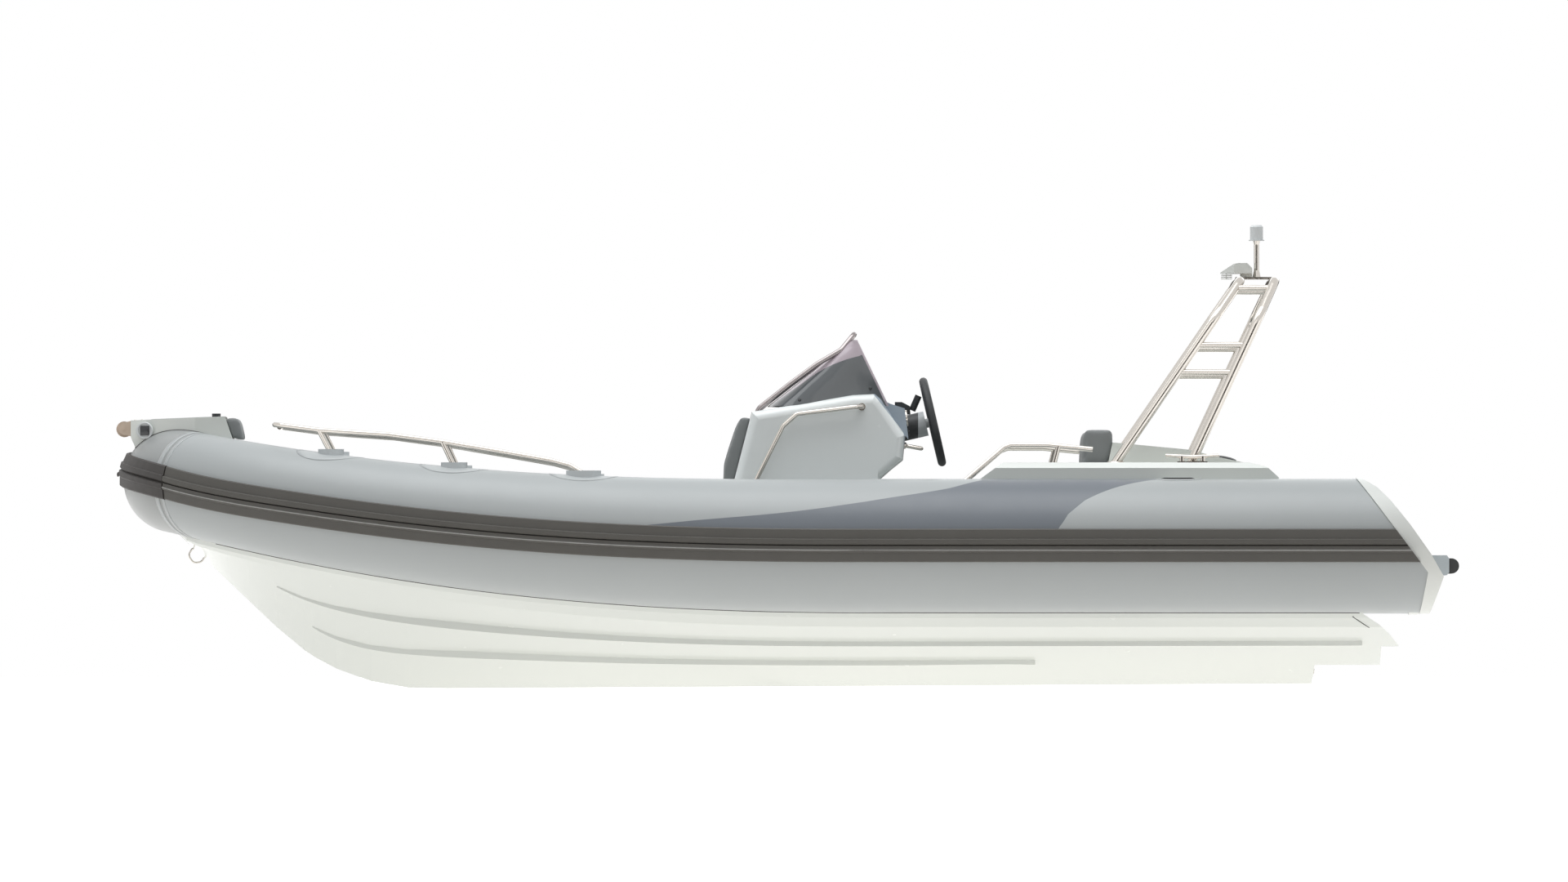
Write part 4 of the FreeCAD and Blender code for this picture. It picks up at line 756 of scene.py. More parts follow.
def plate(bm, outline, thickness, matrix, edge=0.0):
    """A flat outline given a thickness along its z axis, its rims rounded."""
    face = bm.faces.new([bm.verts.new((*point, 0)) for point in outline])
    grown = bmesh.ops.extrude_face_region(bm, geom=[face])["geom"]
    top = [item for item in grown if isinstance(item, bmesh.types.BMVert)]
    bmesh.ops.translate(bm, vec=(0, 0, thickness), verts=top)
    verts = set(top) | set(face.verts)
    if edge:
        rims = [line for line in bm.edges if all(vert in verts for vert in line.verts)]
        made = bmesh.ops.bevel(bm, geom=rims, offset=edge, affect="EDGES", segments=EDGE_SEGMENTS,
                               profile=0.5, material=-1)
        verts = {vert for vert in verts if vert.is_valid} | set(made["verts"])
    bmesh.ops.transform(bm, matrix=matrix, verts=list(verts))


print("profiles and outlines ready")

# %% [markdown]
# Beads, straps and bars are a round section swept along a line. A curve with a bevel does this best, and
# is made a mesh at once.

# %% Sweep a bar


def meshed(data):
    """The mesh of a curve or a text."""
    carrier = bpy.data.objects.new(data.name, data)
    scene.collection.objects.link(carrier)
    mesh = bpy.data.meshes.new_from_object(carrier.evaluated_get(bpy.context.evaluated_depsgraph_get()))
    bpy.data.objects.remove(carrier)
    mesh.materials.clear()
    return mesh


def swept(name, lines, radius, slot, body="boat", closed=False, order=4, finish=None):
    """A round bar or bead along smooth lines, as one mesh."""
    curve = bpy.data.curves.new(name, "CURVE")
    curve.dimensions = "3D"
    curve.bevel_depth = radius
    curve.bevel_resolution = 3
    curve.resolution_u = 3
    curve.use_fill_caps = True
    for line in lines:
        spline = curve.splines.new("NURBS")
        spline.points.add(len(line) - 1)
        for point, place in zip(spline.points, line):
            point.co = (*place, 1)
        spline.use_cyclic_u = closed
        spline.use_endpoint_u = not closed
        spline.order_u = order
    return piece(name, meshed(curve), slot, body, finish=finish)


print("bars can be swept")

# %% [markdown]
# Many pieces start from a solid of the boat. A copy of its mesh is merged first, because a solid comes as
# loose triangles, and a tree of its faces answers where the nearest surface is.

# %% Copies and surfaces
COPY_DOUBLES = 1e-5
COLLAR = ("tube_port", "tube_starboard", "tube_bow")


def merged_copy(node):
    """A copy of a node's mesh, its loose triangles joined."""
    bm = bmesh.new()
    bm.from_mesh(nodes[node].data)
    bmesh.ops.remove_doubles(bm, verts=bm.verts, dist=COPY_DOUBLES)
    return bm


def tree_of(*names):
    """The surfaces of some nodes, ready to be measured against."""
    bm = bmesh.new()
    for name in names:
        bm.from_mesh(nodes[name].data)
    tree = BVHTree.FromBMesh(bm)
    bm.free()
    return tree


collar_skin = tree_of(*COLLAR)
print("collar measured")

# %% [markdown]
# ## Cushions and backrests
# A boat cushion is foam in a vinyl cover: tight, crowned, and pulled in at its seams. A box with round
# edges never looks stuffed, so each pad is blown up by the cloth simulation, with gravity off and air
# pressed in. How far a point moves is eased towards a limit.

# %% Blow up a pad
AIR_PRESSURE = 4
AIR_STEPS = 20


def modified(obj):
    """The object's mesh with its modifiers worked in."""
    result = bpy.data.meshes.new_from_object(obj.evaluated_get(bpy.context.evaluated_depsgraph_get()))
    obj.modifiers.clear()
    obj.data = result
    return result


def blown_up(obj, room):
    """The cloth simulation, held back so that no point moves further than room."""
    start = [vertex.co.copy() for vertex in obj.data.vertices]
    cloth = obj.modifiers.new("air", "CLOTH").settings
    cloth.use_pressure = True
    cloth.uniform_pressure_force = AIR_PRESSURE
    cloth.effector_weights.gravity = 0
    cloth.quality = 4
    for number in range(1, AIR_STEPS + 1):
        scene.frame_set(number)
    mesh = modified(obj)
    scene.frame_set(1)
    for vertex, place in zip(mesh.vertices, start):
        step = vertex.co - place
        vertex.co = place + step * (room / (room * 0.8 + step.length))


print("air at pressure", AIR_PRESSURE)

# %% [markdown]
# Each pad starts as its solid's shape made a little smaller, and gets a fine even skin before the air.
# Sewn channels come after it, because a new skin would close them. What would leave the solid's space is
# put back on its surface, which also gives a flat underside.

# %% Make a pad
PADS = {}
PAD_MARGIN = 0.0003
CHANNEL_DEPTH, CHANNEL_WIDTH = 0.005, 0.007


def channel(mesh, y):
    """A sewn channel: the cover is drawn in where it crosses y."""
    normals = [vertex.normal.copy() for vertex in mesh.vertices]
    for vertex, normal in zip(mesh.vertices, normals):
        away = vertex.co.y - y
        vertex.co -= normal * CHANNEL_DEPTH * math.exp(-(away / CHANNEL_WIDTH) ** 2)


def shrunk_copy(node, face, room):
    """A node's shape made smaller by room on each side, still resting where the face looks away."""
    low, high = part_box(node)
    shares = [0.5 - 0.5 * round(part) for part in face]
    anchor = Vector([lower + (upper - lower) * share for lower, upper, share in zip(low, high, shares)])
    shrink = Matrix.Diagonal([1 - 2 * room / (upper - lower) for lower, upper in zip(low, high)]).to_4x4()
    bm = merged_copy(node)
    bmesh.ops.transform(bm, matrix=Matrix.Translation(anchor) @ shrink @ Matrix.Translation(-anchor),
                        verts=bm.verts)
    return bm


def kept_inside(mesh, solid):
    """Points that stand out of a solid go back to just under its surface."""
    for vertex in mesh.vertices:
        nearest, normal, _, _ = solid.find_nearest(vertex.co)
        if (vertex.co - nearest).dot(normal) > -PAD_MARGIN:
            vertex.co = nearest - normal * PAD_MARGIN


def pad(name, node, body, face, room=0.010, voxel=0.018, channels=()):
    """A padded piece for a node; face is the way that its cushioned side looks."""
    made = piece(name, mesh_from(shrunk_copy(node, face, room), name), "cushion", body)
    skin = made.modifiers.new("skin", "REMESH")
    skin.mode = "VOXEL"
    skin.voxel_size = voxel
    modified(made)
    blown_up(made, room)
    finer = made.modifiers.new("finer", "SUBSURF")
    finer.levels = finer.render_levels = 1
    mesh = modified(made)
    for y in channels:
        channel(mesh, y)
    kept_inside(mesh, tree_of(node))
    for polygon in mesh.polygons:
        polygon.use_smooth = True
    mesh.materials.clear()
    mesh.materials.append(finishes["cushion"])
    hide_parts(node)
    PADS[name] = made
    print(name, len(mesh.vertices), "points")


print("pads can be made")

# %% [markdown]
# The seat cushions look up and rest on their lids. The backrests look forward or aft and lean on what
# carries them. Wide ones are quilted with two channels.

# %% Six pads
pad("bow_seat_pad", "bow_cushion", "bow_locker_lid", UP, channels=(0.16, -0.16))
pad("front_seat_pad", "front_seat_cushion", "front_seat_lid", UP, channels=(0.10, -0.10))
pad("bench_pad", "bench_cushion", "bench_lid", UP, channels=(0.18, -0.18))
pad("front_back_pad", "front_backrest", "boat", AHEAD, 0.008, 0.012)
pad("bench_back_pad", "stern_backrest", "boat", AHEAD, 0.009, 0.016, channels=(0.18, -0.18))
pad("bow_back_pad", "bow_backrest", "boat", ASTERN, 0.006, 0.010)

# %% [markdown]
# A welt is a thin covered cord sewn into the seam between a cushion's face and its side band. Cutting
# the finished pad with a plane gives the line it follows, so it lies on the cover all the way round.

# %% Welts
WELT_RADIUS = 0.0035
WELT_DROP = 0.020


def chained(edges):
    """Edges joined end to end, as lines of points."""
    waiting = {edge.index: edge for edge in edges}
    lines = []
    while waiting:
        line = list(waiting.pop(min(waiting)).verts)
        for _ in range(2):
            while True:
                following = [edge for edge in line[-1].link_edges if edge.index in waiting]
                if not following:
                    break
                line.append(waiting.pop(following[0].index).other_vert(line[-1]))
            line.reverse()
        lines.append([vert.co.copy() for vert in line])
    return lines


def section_line(mesh, level):
    """The longest closed line that a level plane cuts from a mesh."""
    bm = bmesh.new()
    bm.from_mesh(mesh)
    cut = bmesh.ops.bisect_plane(bm, geom=bm.verts[:] + bm.edges[:] + bm.faces[:], plane_co=(0, 0, level),
                                 plane_no=UP)["geom_cut"]
    bm.edges.index_update()
    longest = max(chained([item for item in cut if isinstance(item, bmesh.types.BMEdge)]), key=len)
    bm.free()
    return longest[:-1]


finishes["welt_vinyl"] = vinyl("welt_vinyl", (0.13, 0.137, 0.137)).done()
for name in ("bow_seat_pad", "front_seat_pad", "bench_pad"):
    cover = PADS[name]
    top = max(vertex.co.z for vertex in cover.data.vertices)
    seam = section_line(cover.data, top - WELT_DROP)[::2]
    swept(name + "_welt", [seam], WELT_RADIUS, "cushion", cover["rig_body"], closed=True, finish="welt_vinyl")
    print(name, "welt of", len(seam), "points")

# %% [markdown]
# ## Landing on a surface
# The small pieces sit on curved and sloping surfaces. A ray finds where each one lands and which way the
# surface faces there, so that a bolt or a panel lies on what carries it from every side. A seat is a place
# and the way that it faces, and most seats come twice, to port and to starboard.

# %% Seats
TREES = {}


def landed(place, way, *names):
    """The seat where a line from a place meets the surface of some nodes."""
    if names not in TREES:
        TREES[names] = tree_of(*names)
    point, normal, _, _ = TREES[names].ray_cast(Vector(place), Vector(way))
    return point, normal if normal.dot(Vector(way)) < 0 else -normal


def mirrored(places, way, *names):
    """The seats of rays from some places, and from the same places on the other side."""
    return [landed((x, side * y, z), (way[0], side * way[1], way[2]), *names)
            for side in (PORT, STARBOARD) for x, y, z in places]


def on_both_sides(x, y, z, way):
    """Two known seats, to port and to starboard."""
    return [(Vector((x, side * y, z)), way) for side in (PORT, STARBOARD)]


def moved(seat, out, aside=(0, 0, 0)):
    """A seat moved out of its surface, and aside."""
    place, way = seat
    return place + way * out + Vector(aside), way


def laid(place, way, along=AHEAD):
    """The matrix of a flat thing that lies at a place, faces way and runs along a direction."""
    out = Vector(way).normalized()
    side = out.cross(Vector(along)).normalized()
    return Matrix.Translation(place) @ Matrix((side.cross(out), side, out)).transposed().to_4x4()


print("seats can be found")

# %% [markdown]
# Panels and turned pieces are the two kinds of fitting. One mesh holds all its copies, each on its seat.
# A few outlines and profiles serve many of them, and those of a single piece stand with that piece. Each
# profile starts a little below its seat, so that no gap shows where the seat is curved.

# %% Panels and turned pieces
ROOT = 0.002


def slab(length, width, corner, steps=4):
    """The outline of a rectangle with round corners."""
    points = []
    for quarter, (ahead, aside) in enumerate(((1, 1), (-1, 1), (-1, -1), (1, -1))):
        for step in range(steps + 1):
            turn = math.radians(90 * (quarter + step / steps))
            points.append((ahead * (length / 2 - corner) + corner * math.cos(turn),
                           aside * (width / 2 - corner) + corner * math.sin(turn)))
    return points


def panels(name, seats, outline, thickness, slot, body="boat", edge=0.001, finish=None, along=AHEAD):
    """The same flat piece on several seats."""
    bm = bmesh.new()
    for place, way in seats:
        plate(bm, outline, thickness, laid(place, way, along), edge)
    return piece(name, mesh_from(bm, name), slot, body, finish)


def turned(name, seats, profile, slot, finish=None, steps=24):
    """The same turned piece on several seats."""
    bm = bmesh.new()
    for place, way in seats:
        spun(bm, profile, place, way, steps)
    return piece(name, mesh_from(bm, name), slot, finish=finish)


def ring(inner, outer, height, sunk=ROOT):
    """The profile of a rounded ring."""
    lip = (outer - inner) * 0.25
    return [(inner, -sunk), (inner, height - lip), (inner + lip, height), (outer - lip, height),
            (outer, height - 2 * lip), (outer, -sunk), (inner, -sunk)]


def screw(radius, height):
    """The profile of a pan head with a round socket."""
    return [(0, height * 0.4), (radius * 0.4, height * 0.4), (radius * 0.45, height),
            (radius * 0.7, height * 0.9), (radius * 0.93, height * 0.5),
            (radius, 0), (radius, -ROOT), (0, -ROOT)]


def knob(radius, height):
    """The profile of a low dome."""
    rise = [(radius * math.cos(math.radians(turn)), height * math.sin(math.radians(turn)))
            for turn in range(90, -1, -15)]
    return [(0, height)] + rise[1:] + [(radius, -ROOT), (0, -ROOT)]


print("fittings can be made")

# %% [markdown]
# ## Seams and beads on the collar
# Where the nose chamber joins a side tube, two bands of light tape cover the seam. Tape is too thin to
# model by hand on a tapering tube: a slice is cut from a copy of the tube, so it has the right curve, and
# a Solidify modifier gives it its thickness.

# %% Seam tapes
TAPE = 0.0012
SEAM_PLACE = Vector((2.5302, 0.26885, 0))
SEAM_WAY = Vector((0.6588, -0.7523, 0))
NOSE_BAND = (0.012, 0.042)
SIDE_BAND = (-0.022, -0.004)


def thickened(made, side):
    """Tape with its thickness outside (1) or inside (-1) of its sheet."""
    wall = made.modifiers.new("wall", "SOLIDIFY")
    wall.thickness = TAPE
    wall.offset = side


def tape(name, node, place, way, band):
    """The band of a tube between two planes, as a tape that lies on it."""
    bm = merged_copy(node)
    for offset, sign in zip(band, (-1, 1)):
        whole = bm.verts[:] + bm.edges[:] + bm.faces[:]
        bmesh.ops.bisect_plane(bm, geom=whole, plane_co=place + way * offset, plane_no=way * sign,
                               clear_outer=True)
    ends = [face for face in bm.faces if abs(face.normal.dot(way)) > 0.9]
    bmesh.ops.delete(bm, geom=ends, context="FACES")
    thickened(piece(name, mesh_from(bm, name), "bow_fabric", finish="tape"), 1)


finishes["tape"] = coated_fabric("seam_tape", (0.46, 0.48, 0.48)).done()
for side, mark in ((PORT, "port"), (STARBOARD, "starboard")):
    place = Vector((SEAM_PLACE.x, side * SEAM_PLACE.y, 0))
    way = Vector((SEAM_WAY.x, side * SEAM_WAY.y, 0))
    tape("nose_tape_" + mark, "tube_bow", place, way, NOSE_BAND)
    tape("side_tape_" + mark, "tube_" + mark, place, way, SIDE_BAND)
print("seams taped")

# %% [markdown]
# A bead of dark sealant closes the joint where a rigid moulding sits on the collar. The joint's line is
# already in the mouldings: it is the border between the faces that hug the collar and the other ones.

# %% Sealant beads
SEAT_GAP = 0.0015
BEAD_RADIUS = 0.0026
SHORTEST_BEAD = 9


def seat_lines(node):
    bm = merged_copy(node)
    close = {vert.index for vert in bm.verts if collar_skin.find_nearest(vert.co)[3] < SEAT_GAP}
    seated = {face.index for face in bm.faces if all(vert.index in close for vert in face.verts)}
    borders = [edge for edge in bm.edges if sum(face.index in seated for face in edge.link_faces) == 1]
    lines = [line for line in chained(borders) if len(line) >= SHORTEST_BEAD]
    bm.free()
    return lines


finishes["sealant"] = rubber("sealant", (0.10, 0.10, 0.095), 0.5).done()
for node in ("hull", "bow_platform", "stern_bench"):
    lines = seat_lines(node)
    swept(node + "_bead", lines, BEAD_RADIUS, "rubber_dark", order=2, finish="sealant")
    print(node, "bead of", sum(len(line) for line in lines), "points")

# %% [markdown]
# A dark welt runs along the underside of the tubes, where the fabric is glued to the hull's flange. For
# each station along the boat, rays from below find the lowest point of the tube.

# %% Welt under the tubes
TUBE_RAYS = [0.02 * step for step in range(10, 50)]
RAYS_START = -1
WELT_FIRST, WELT_LAST, WELT_STEP = -2.46, 2.46, 0.12


def lowest_on_tube(x, side):
    hits = [collar_skin.ray_cast(Vector((x, side * y, RAYS_START)), UP)[0] for y in TUBE_RAYS]
    return min([hit for hit in hits if hit is not None], key=lambda hit: hit.z)


stations = [WELT_FIRST + WELT_STEP * step for step in range(round((WELT_LAST - WELT_FIRST) / WELT_STEP) + 1)]
welt_lines = [[lowest_on_tube(x, side) for x in stations] for side in (PORT, STARBOARD)]
swept("tube_welts", welt_lines, WELT_RADIUS, "rubber_dark", order=3, finish="sealant")
print("welts of", len(stations), "points")

# %% [markdown]
# A pale bead along the lower rib of the rub rail is a painted highlight: it stands in for the light that
# the rib's crest catches. Its path is one of the rib's own edges: the walk starts at the edge amidships
# and always takes the next sharp edge that turns the least.

# %% Painted highlight along the rub rail
HIGHLIGHT_PLACE = Vector((0, 1.1782, 0.3132))
HIGHLIGHT_RADIUS = 0.0026
HIGHLIGHT_SUNK = 0.0024
SHARP = 0.35
STRAIGHT_ON = 0.9


def edge_beside(bm, aim):
    """The edge that passes closest to a place, of those that cross its station along the boat."""
    best = None
    for edge in bm.edges:
        first, last = edge.verts
        if first.co.x == last.co.x or (first.co.x - aim.x) * (last.co.x - aim.x) > 0:
            continue
        share = (aim.x - first.co.x) / (last.co.x - first.co.x)
        away = (first.co.lerp(last.co, share) - aim).length
        if best is None or away < best[0]:
            best = (away, edge)
    return best[1]


def followed(edge, vert):
    """The points that a walk along sharp edges passes, from an edge's far end onwards."""
    points = [vert.co.copy()]
    heading = (vert.co - edge.other_vert(vert).co).normalized()
    while True:
        choices = []
        for following in vert.link_edges:
            if following != edge and len(following.link_faces) == 2 and following.calc_face_angle() > SHARP:
                way = (following.other_vert(vert).co - vert.co).normalized()
                choices.append((way.dot(heading), following, way))
        best = max(choices, key=lambda choice: choice[0], default=(0, None, None))
        if best[0] < STRAIGHT_ON:
            return points
        _, edge, heading = best
        vert = edge.other_vert(vert)
        points.append(vert.co.copy())


highlight_lines = []
bm = merged_copy("rub_rails")
for side in (PORT, STARBOARD):
    edge = edge_beside(bm, Vector((0, side * HIGHLIGHT_PLACE.y, HIGHLIGHT_PLACE.z)))
    line = followed(edge, edge.verts[0])[::-1] + followed(edge, edge.verts[1])
    inwards = [(collar_skin.find_nearest(point)[0] - point).normalized() for point in line]
    highlight_lines.append([point + way * HIGHLIGHT_SUNK for point, way in zip(line, inwards)])
bm.free()
# The pale rubber of this bead is a painted highlight: the light that the rib's crest catches.
finishes["painted_highlight"] = rubber("painted_rail_highlight", (0.34, 0.335, 0.32), 0.45).done()
swept("rail_highlight_beads", highlight_lines, HIGHLIGHT_RADIUS, "rubber_dark", order=3, finish="painted_highlight")
print("strip of", [len(line) for line in highlight_lines], "points")

# %% [markdown]
# Glued patches spread the pull of each rail foot over the fabric. A small grid is dropped on the tube
# along the foot's direction and follows its curve, and the squares of the grid are pushed into an oval.

# %% Patches
PATCH_STEPS = 10
DROP = 0.2
RAIL_FEET = ((1.960, 0.615, 2), (1.428, 0.763, 2), (0.871, 0.844, 2))


def patch(bm, place, way, length, width, height):
    """An oval sheet that follows the collar under it."""
    start = laid(place, way)
    for vert in bmesh.ops.create_grid(bm, x_segments=PATCH_STEPS, y_segments=PATCH_STEPS, size=1)["verts"]:
        u, v = vert.co.x, vert.co.y
        along = u * math.sqrt(1 - v * v / 2) * length / 2
        aside = v * math.sqrt(1 - u * u / 2) * width / 2
        point, normal = landed(start @ Vector((along, aside, DROP)), -Vector(way).normalized(), *COLLAR)
        rim = max(abs(u), abs(v)) > 0.99
        vert.co = point + normal * (min(height, TAPE) if rim else height)


def patches(name, seats, length, width, height=TAPE, finish="tape"):
    """The same patch on several seats."""
    bm = bmesh.new()
    for place, way in seats:
        patch(bm, place, way, length, width, height)
    mesh = bpy.data.meshes.new(name)
    bm.to_mesh(mesh)
    bm.free()
    thickened(piece(name, mesh, "bow_fabric", finish=finish), -1)


patches("rail_patches", mirrored(RAIL_FEET, DOWN, *COLLAR), 0.30, 0.23)
print(2 * len(RAIL_FEET), "rail patches")

# %% [markdown]
# A flat strap on each quarter and the arched handles along the inside are webbing, sewn and glued to
# patches of their own. The arch is a short bar over its seat, because webbing stiffened to a handle is
# nearly round. Air valves are turned black discs on the same side of the tubes.

# %% Straps, handles and valves
QUARTERS = ((-1.68, 0.885, 2),)
INSIDE_Y, INSIDE_Z = 0.30, 0.62
INSIDE_WAY = (0, 0.93, -0.37)
HANDLE_STATIONS = (1.15, 0.10, -0.62)
VALVE_STATIONS = (0.62, -1.0)
HANDLE_ARCH = ((-0.085, 0, 0), (-0.080, 0, 0.012), (-0.055, 0, 0.034), (0, 0, 0.040),
               (0.055, 0, 0.034), (0.080, 0, 0.012), (0.085, 0, 0))
VALVE = [(0, 0.006), (0.010, 0.007), (0.013, 0.004), (0.021, 0.004), (0.024, 0.007), (0.030, 0.005),
         (0.032, -0.004), (0, -0.004)]


def inside_seats(stations):
    """Seats on the inner side of the collar."""
    return mirrored([(x, INSIDE_Y, INSIDE_Z) for x in stations], INSIDE_WAY, *COLLAR)


finishes["webbing"] = rubber("black_webbing", (0.045, 0.045, 0.045), 0.6).done()
grip_seats = mirrored(QUARTERS, DOWN, *COLLAR)
patches("grip_patches", grip_seats, 0.21, 0.11)
patches("grip_straps", grip_seats, 0.150, 0.040, 0.006, "webbing")
handle_seats = inside_seats(HANDLE_STATIONS)
patches("handle_patches", handle_seats, 0.24, 0.12)
arches = [[laid(place, way) @ Vector(point) for point in HANDLE_ARCH] for place, way in handle_seats]
swept("tube_handles", arches, 0.008, "rubber_dark", order=3, finish="webbing")
turned("air_valves", inside_seats(VALVE_STATIONS), VALVE, "black_plastic")
print(len(arches), "handles")

# %% [markdown]
# ## The nose
# Running lights are set into the nose moulding, each a dark square lens in a round white bezel. A grey
# pad with small diamonds gives grip on the step above them, and a stud closes the nose guard.

# %% Bezels, lenses, step pad and stud
LAMPS_AT = ((2.7755, 1, 0.8355),)
PAD_AT = (2.62, 0, 2)
STUD_AT = (3.5, 0, 0.647)
ROLLER_SCREWS = ((2.79, 0.035, 2), (2.82, 0.035, 2))
STEP_PAD = [(0.13, 0.055), (0.11, 0.075), (-0.11, 0.115), (-0.13, 0.095), (-0.13, -0.095), (-0.11, -0.115),
            (0.11, -0.075), (0.13, -0.055)]

finishes["dark_lens"] = plastic("dark_lens", (0.035, 0.037, 0.040), 0.12, 0.00001).done()
finishes["grip_grey"] = moulding("grip_grey", (0.46, 0.48, 0.48)).done()
lamp_seats = mirrored(LAMPS_AT, LEFT, "nav_lights", "bow_platform")
turned("lamp_bezels", lamp_seats, ring(0.029, 0.037, 0.004), "lamp_lens", steps=40)
panels("lamp_lenses", lamp_seats, slab(0.041, 0.041, 0.005), 0.005, "black_plastic", edge=0.0015,
       finish="dark_lens")
pad_seat = landed(PAD_AT, DOWN, "bow_platform")
panels("nose_step_pad", [moved(pad_seat, -0.001)], STEP_PAD, 0.003, "deck_gelcoat", finish="grip_grey")
turned("nose_stud", [landed(STUD_AT, ASTERN, "nose_guard")], knob(0.011, 0.0075), "guard_rubber")
turned("roller_screws", mirrored(ROLLER_SCREWS, DOWN, "bow_platform"), screw(0.005, 0.003), "steel")
print("nose fitted out")

# %% [markdown]
# ## Windshield fixings
# The screen is one bent sheet of acrylic, printed grey on its inside below a curved line and clear above
# it. The print is in its finish. Black cap screws hold it to the console, and flanges carry the rails.

# %% Screws of the windshield
SCREEN_SCREWS = ((-0.057, 1, 0.966), (-0.362, 1, 1.015))
RAIL_FLANGES = ((0.150, 1, 0.478), (-0.325, 1, 0.936))

turned("screen_screws", mirrored(SCREEN_SCREWS, LEFT, "windshield"), knob(0.0075, 0.004), "black_plastic")
turned("console_rail_flanges", mirrored(RAIL_FLANGES, LEFT, "console"), ring(0.0115, 0.0165, 0.003), "steel")
print("screen fixed")

# %% [markdown]
# ## Instruments
# Everything on the dash faces the helm: three round gauges with a chrome bezel, a row of rocker switches,
# a key switch and a socket. A gauge is a dark disc in a steel ring. Each one is given by its place on the
# dash, its radius and its reading, as a share of half the scale.

# %% Gauges
HELM_X = -1.5
GAUGES = ((0.118, 0.888, 0.035, 0.2), (0.200, 0.888, 0.035, -0.5), (-0.104, 0.862, 0.033, 0.6))


def dash_seat(y, z):
    """The seat on the dash straight ahead of the helm."""
    return landed((HELM_X, y, z), AHEAD, "console_dash")


finishes["dial_face"] = plastic("dial_face", (0.018, 0.019, 0.02), 0.3, 0.00002).done()
finishes["dial_mark"] = plastic("dial_mark", (0.72, 0.73, 0.72), 0.5, 0.00002).done()
finishes["needle"] = plastic("needle_orange", (0.62, 0.13, 0.035), 0.4, 0.00002).done()
for y, z, radius, _ in GAUGES:
    seat = dash_seat(y, z)
    label = "gauge_%d" % round(abs(y) * 1000)
    disc = [(0, 0.003), (radius - 0.004, 0.003), (radius - 0.004, -0.002), (0, -0.002)]
    turned(label, [seat], ring(radius - 0.005, radius, 0.007), "steel", steps=40)
    turned(label + "_face", [seat], disc, "black_plastic", "dial_face", steps=40)
print(len(GAUGES), "gauges")

# %% [markdown]
# A dial's marks are printed, and its needle is a thin pressed strip. All of them are raised bars here,
# because a printed face would need a picture. The long marks stand at the numbers and halfway between.

# %% Marks and needles
FACE_TOP = 0.0028
HALF_SCALE = 130
MARK_COUNT = 13
MARK_INSET, NEEDLE_INSET = 0.0095, 0.012
LONG_MARK, SHORT_MARK = 0.005, 0.003


def scale_turn(step, count):
    """How far a mark is turned from the top of a dial, when so many share its whole scale."""
    return math.radians(HALF_SCALE - step * 2 * HALF_SCALE / (count - 1))


marks = bmesh.new()
needles = bmesh.new()
for y, z, radius, reading in GAUGES:
    seat = moved(dash_seat(y, z), FACE_TOP)
    face = laid(*seat, LEFT)
    for step in range(MARK_COUNT):
        turn = Matrix.Rotation(scale_turn(step, MARK_COUNT), 4, "Z")
        outline = slab(0.0012, SHORT_MARK if step % 2 else LONG_MARK, 0.0003, 1)
        plate(marks, outline, 0.0006, face @ turn @ Matrix.Translation((0, radius - MARK_INSET, 0)))
    tip = radius - NEEDLE_INSET
    turn = Matrix.Rotation(math.radians(-HALF_SCALE * reading), 4, "Z")
    plate(needles, [(-0.0012, -0.005), (0.0012, -0.005), (0.0004, tip), (-0.0004, tip)], 0.0008,
          face @ Matrix.Translation((0, 0, 0.0012)) @ turn)
    spun(needles, knob(0.004, 0.003), *seat, 16)
piece("dial_marks", mesh_from(marks, "dial_marks"), "lamp_lens", finish="dial_mark")
piece("dial_needles", mesh_from(needles, "dial_needles"), "black_plastic", finish="needle")
print(MARK_COUNT, "marks on each dial")

# %% [markdown]
# The numbers are plain text made a mesh, a hair above the face, and stand upright round the dial.

# %% Numbers on the dials
NUMBERS_TOP = 0.0029
NUMBER_INSET = 0.0165
NUMBERS = 7


def digit(number):
    """A number as a mesh, flat and centred."""
    text = bpy.data.curves.new("digit", "FONT")
    text.body = str(number)
    text.size = 0.0068
    text.extrude = 0.0003
    text.align_x = "CENTER"
    text.align_y = "CENTER"
    text.resolution_u = 2
    return meshed(text)


digits = bmesh.new()
for y, z, radius, _ in GAUGES:
    seat = laid(*moved(dash_seat(y, z), NUMBERS_TOP), LEFT)
    reach = radius - NUMBER_INSET
    for number in range(NUMBERS):
        turn = scale_turn(number, NUMBERS)
        shape = digit(number)
        shape.transform(seat @ Matrix.Translation((-math.sin(turn) * reach, math.cos(turn) * reach, 0)))
        digits.from_mesh(shape)
        bpy.data.meshes.remove(shape)
piece("dial_numbers", mesh_from(digits, "dial_numbers"), "lamp_lens", finish="dial_mark")
print("numbers 0 to", NUMBERS - 1, "on each dial")

# %% [markdown]
# A rocker switch is a small curved slab in a frame, and tilts as it is switched. The row is one panel
# with five of them, each with a light line where its symbol would be.

# %% Switches
SWITCHES = 5
SWITCH_STEP = 0.025

panel_place, panel_way = dash_seat(0.160, 0.826)
panels("switch_panel", [(panel_place, panel_way)], slab(0.138, 0.036, 0.005), 0.003, "black_plastic",
       along=LEFT)
rockers = [(panel_place + LEFT * (step - SWITCHES // 2) * SWITCH_STEP + panel_way * 0.002,
            panel_way + UP * 0.10) for step in range(SWITCHES)]
panels("rocker_switches", rockers, slab(0.017, 0.025, 0.003), 0.005, "black_plastic", edge=0.0015,
       finish="dial_face", along=LEFT)
panels("rocker_marks", [moved(rocker, 0.0048, UP * 0.006) for rocker in rockers],
       slab(0.006, 0.0018, 0.0006, 2), 0.0006, "lamp_lens", edge=0, finish="dial_mark", along=LEFT)
print(SWITCHES, "switches")

# %% [markdown]
# The key stands in a steel lock above a capped socket. The tilt lever is a plain steel handle, thicker at
# its end, that leans back from its root.

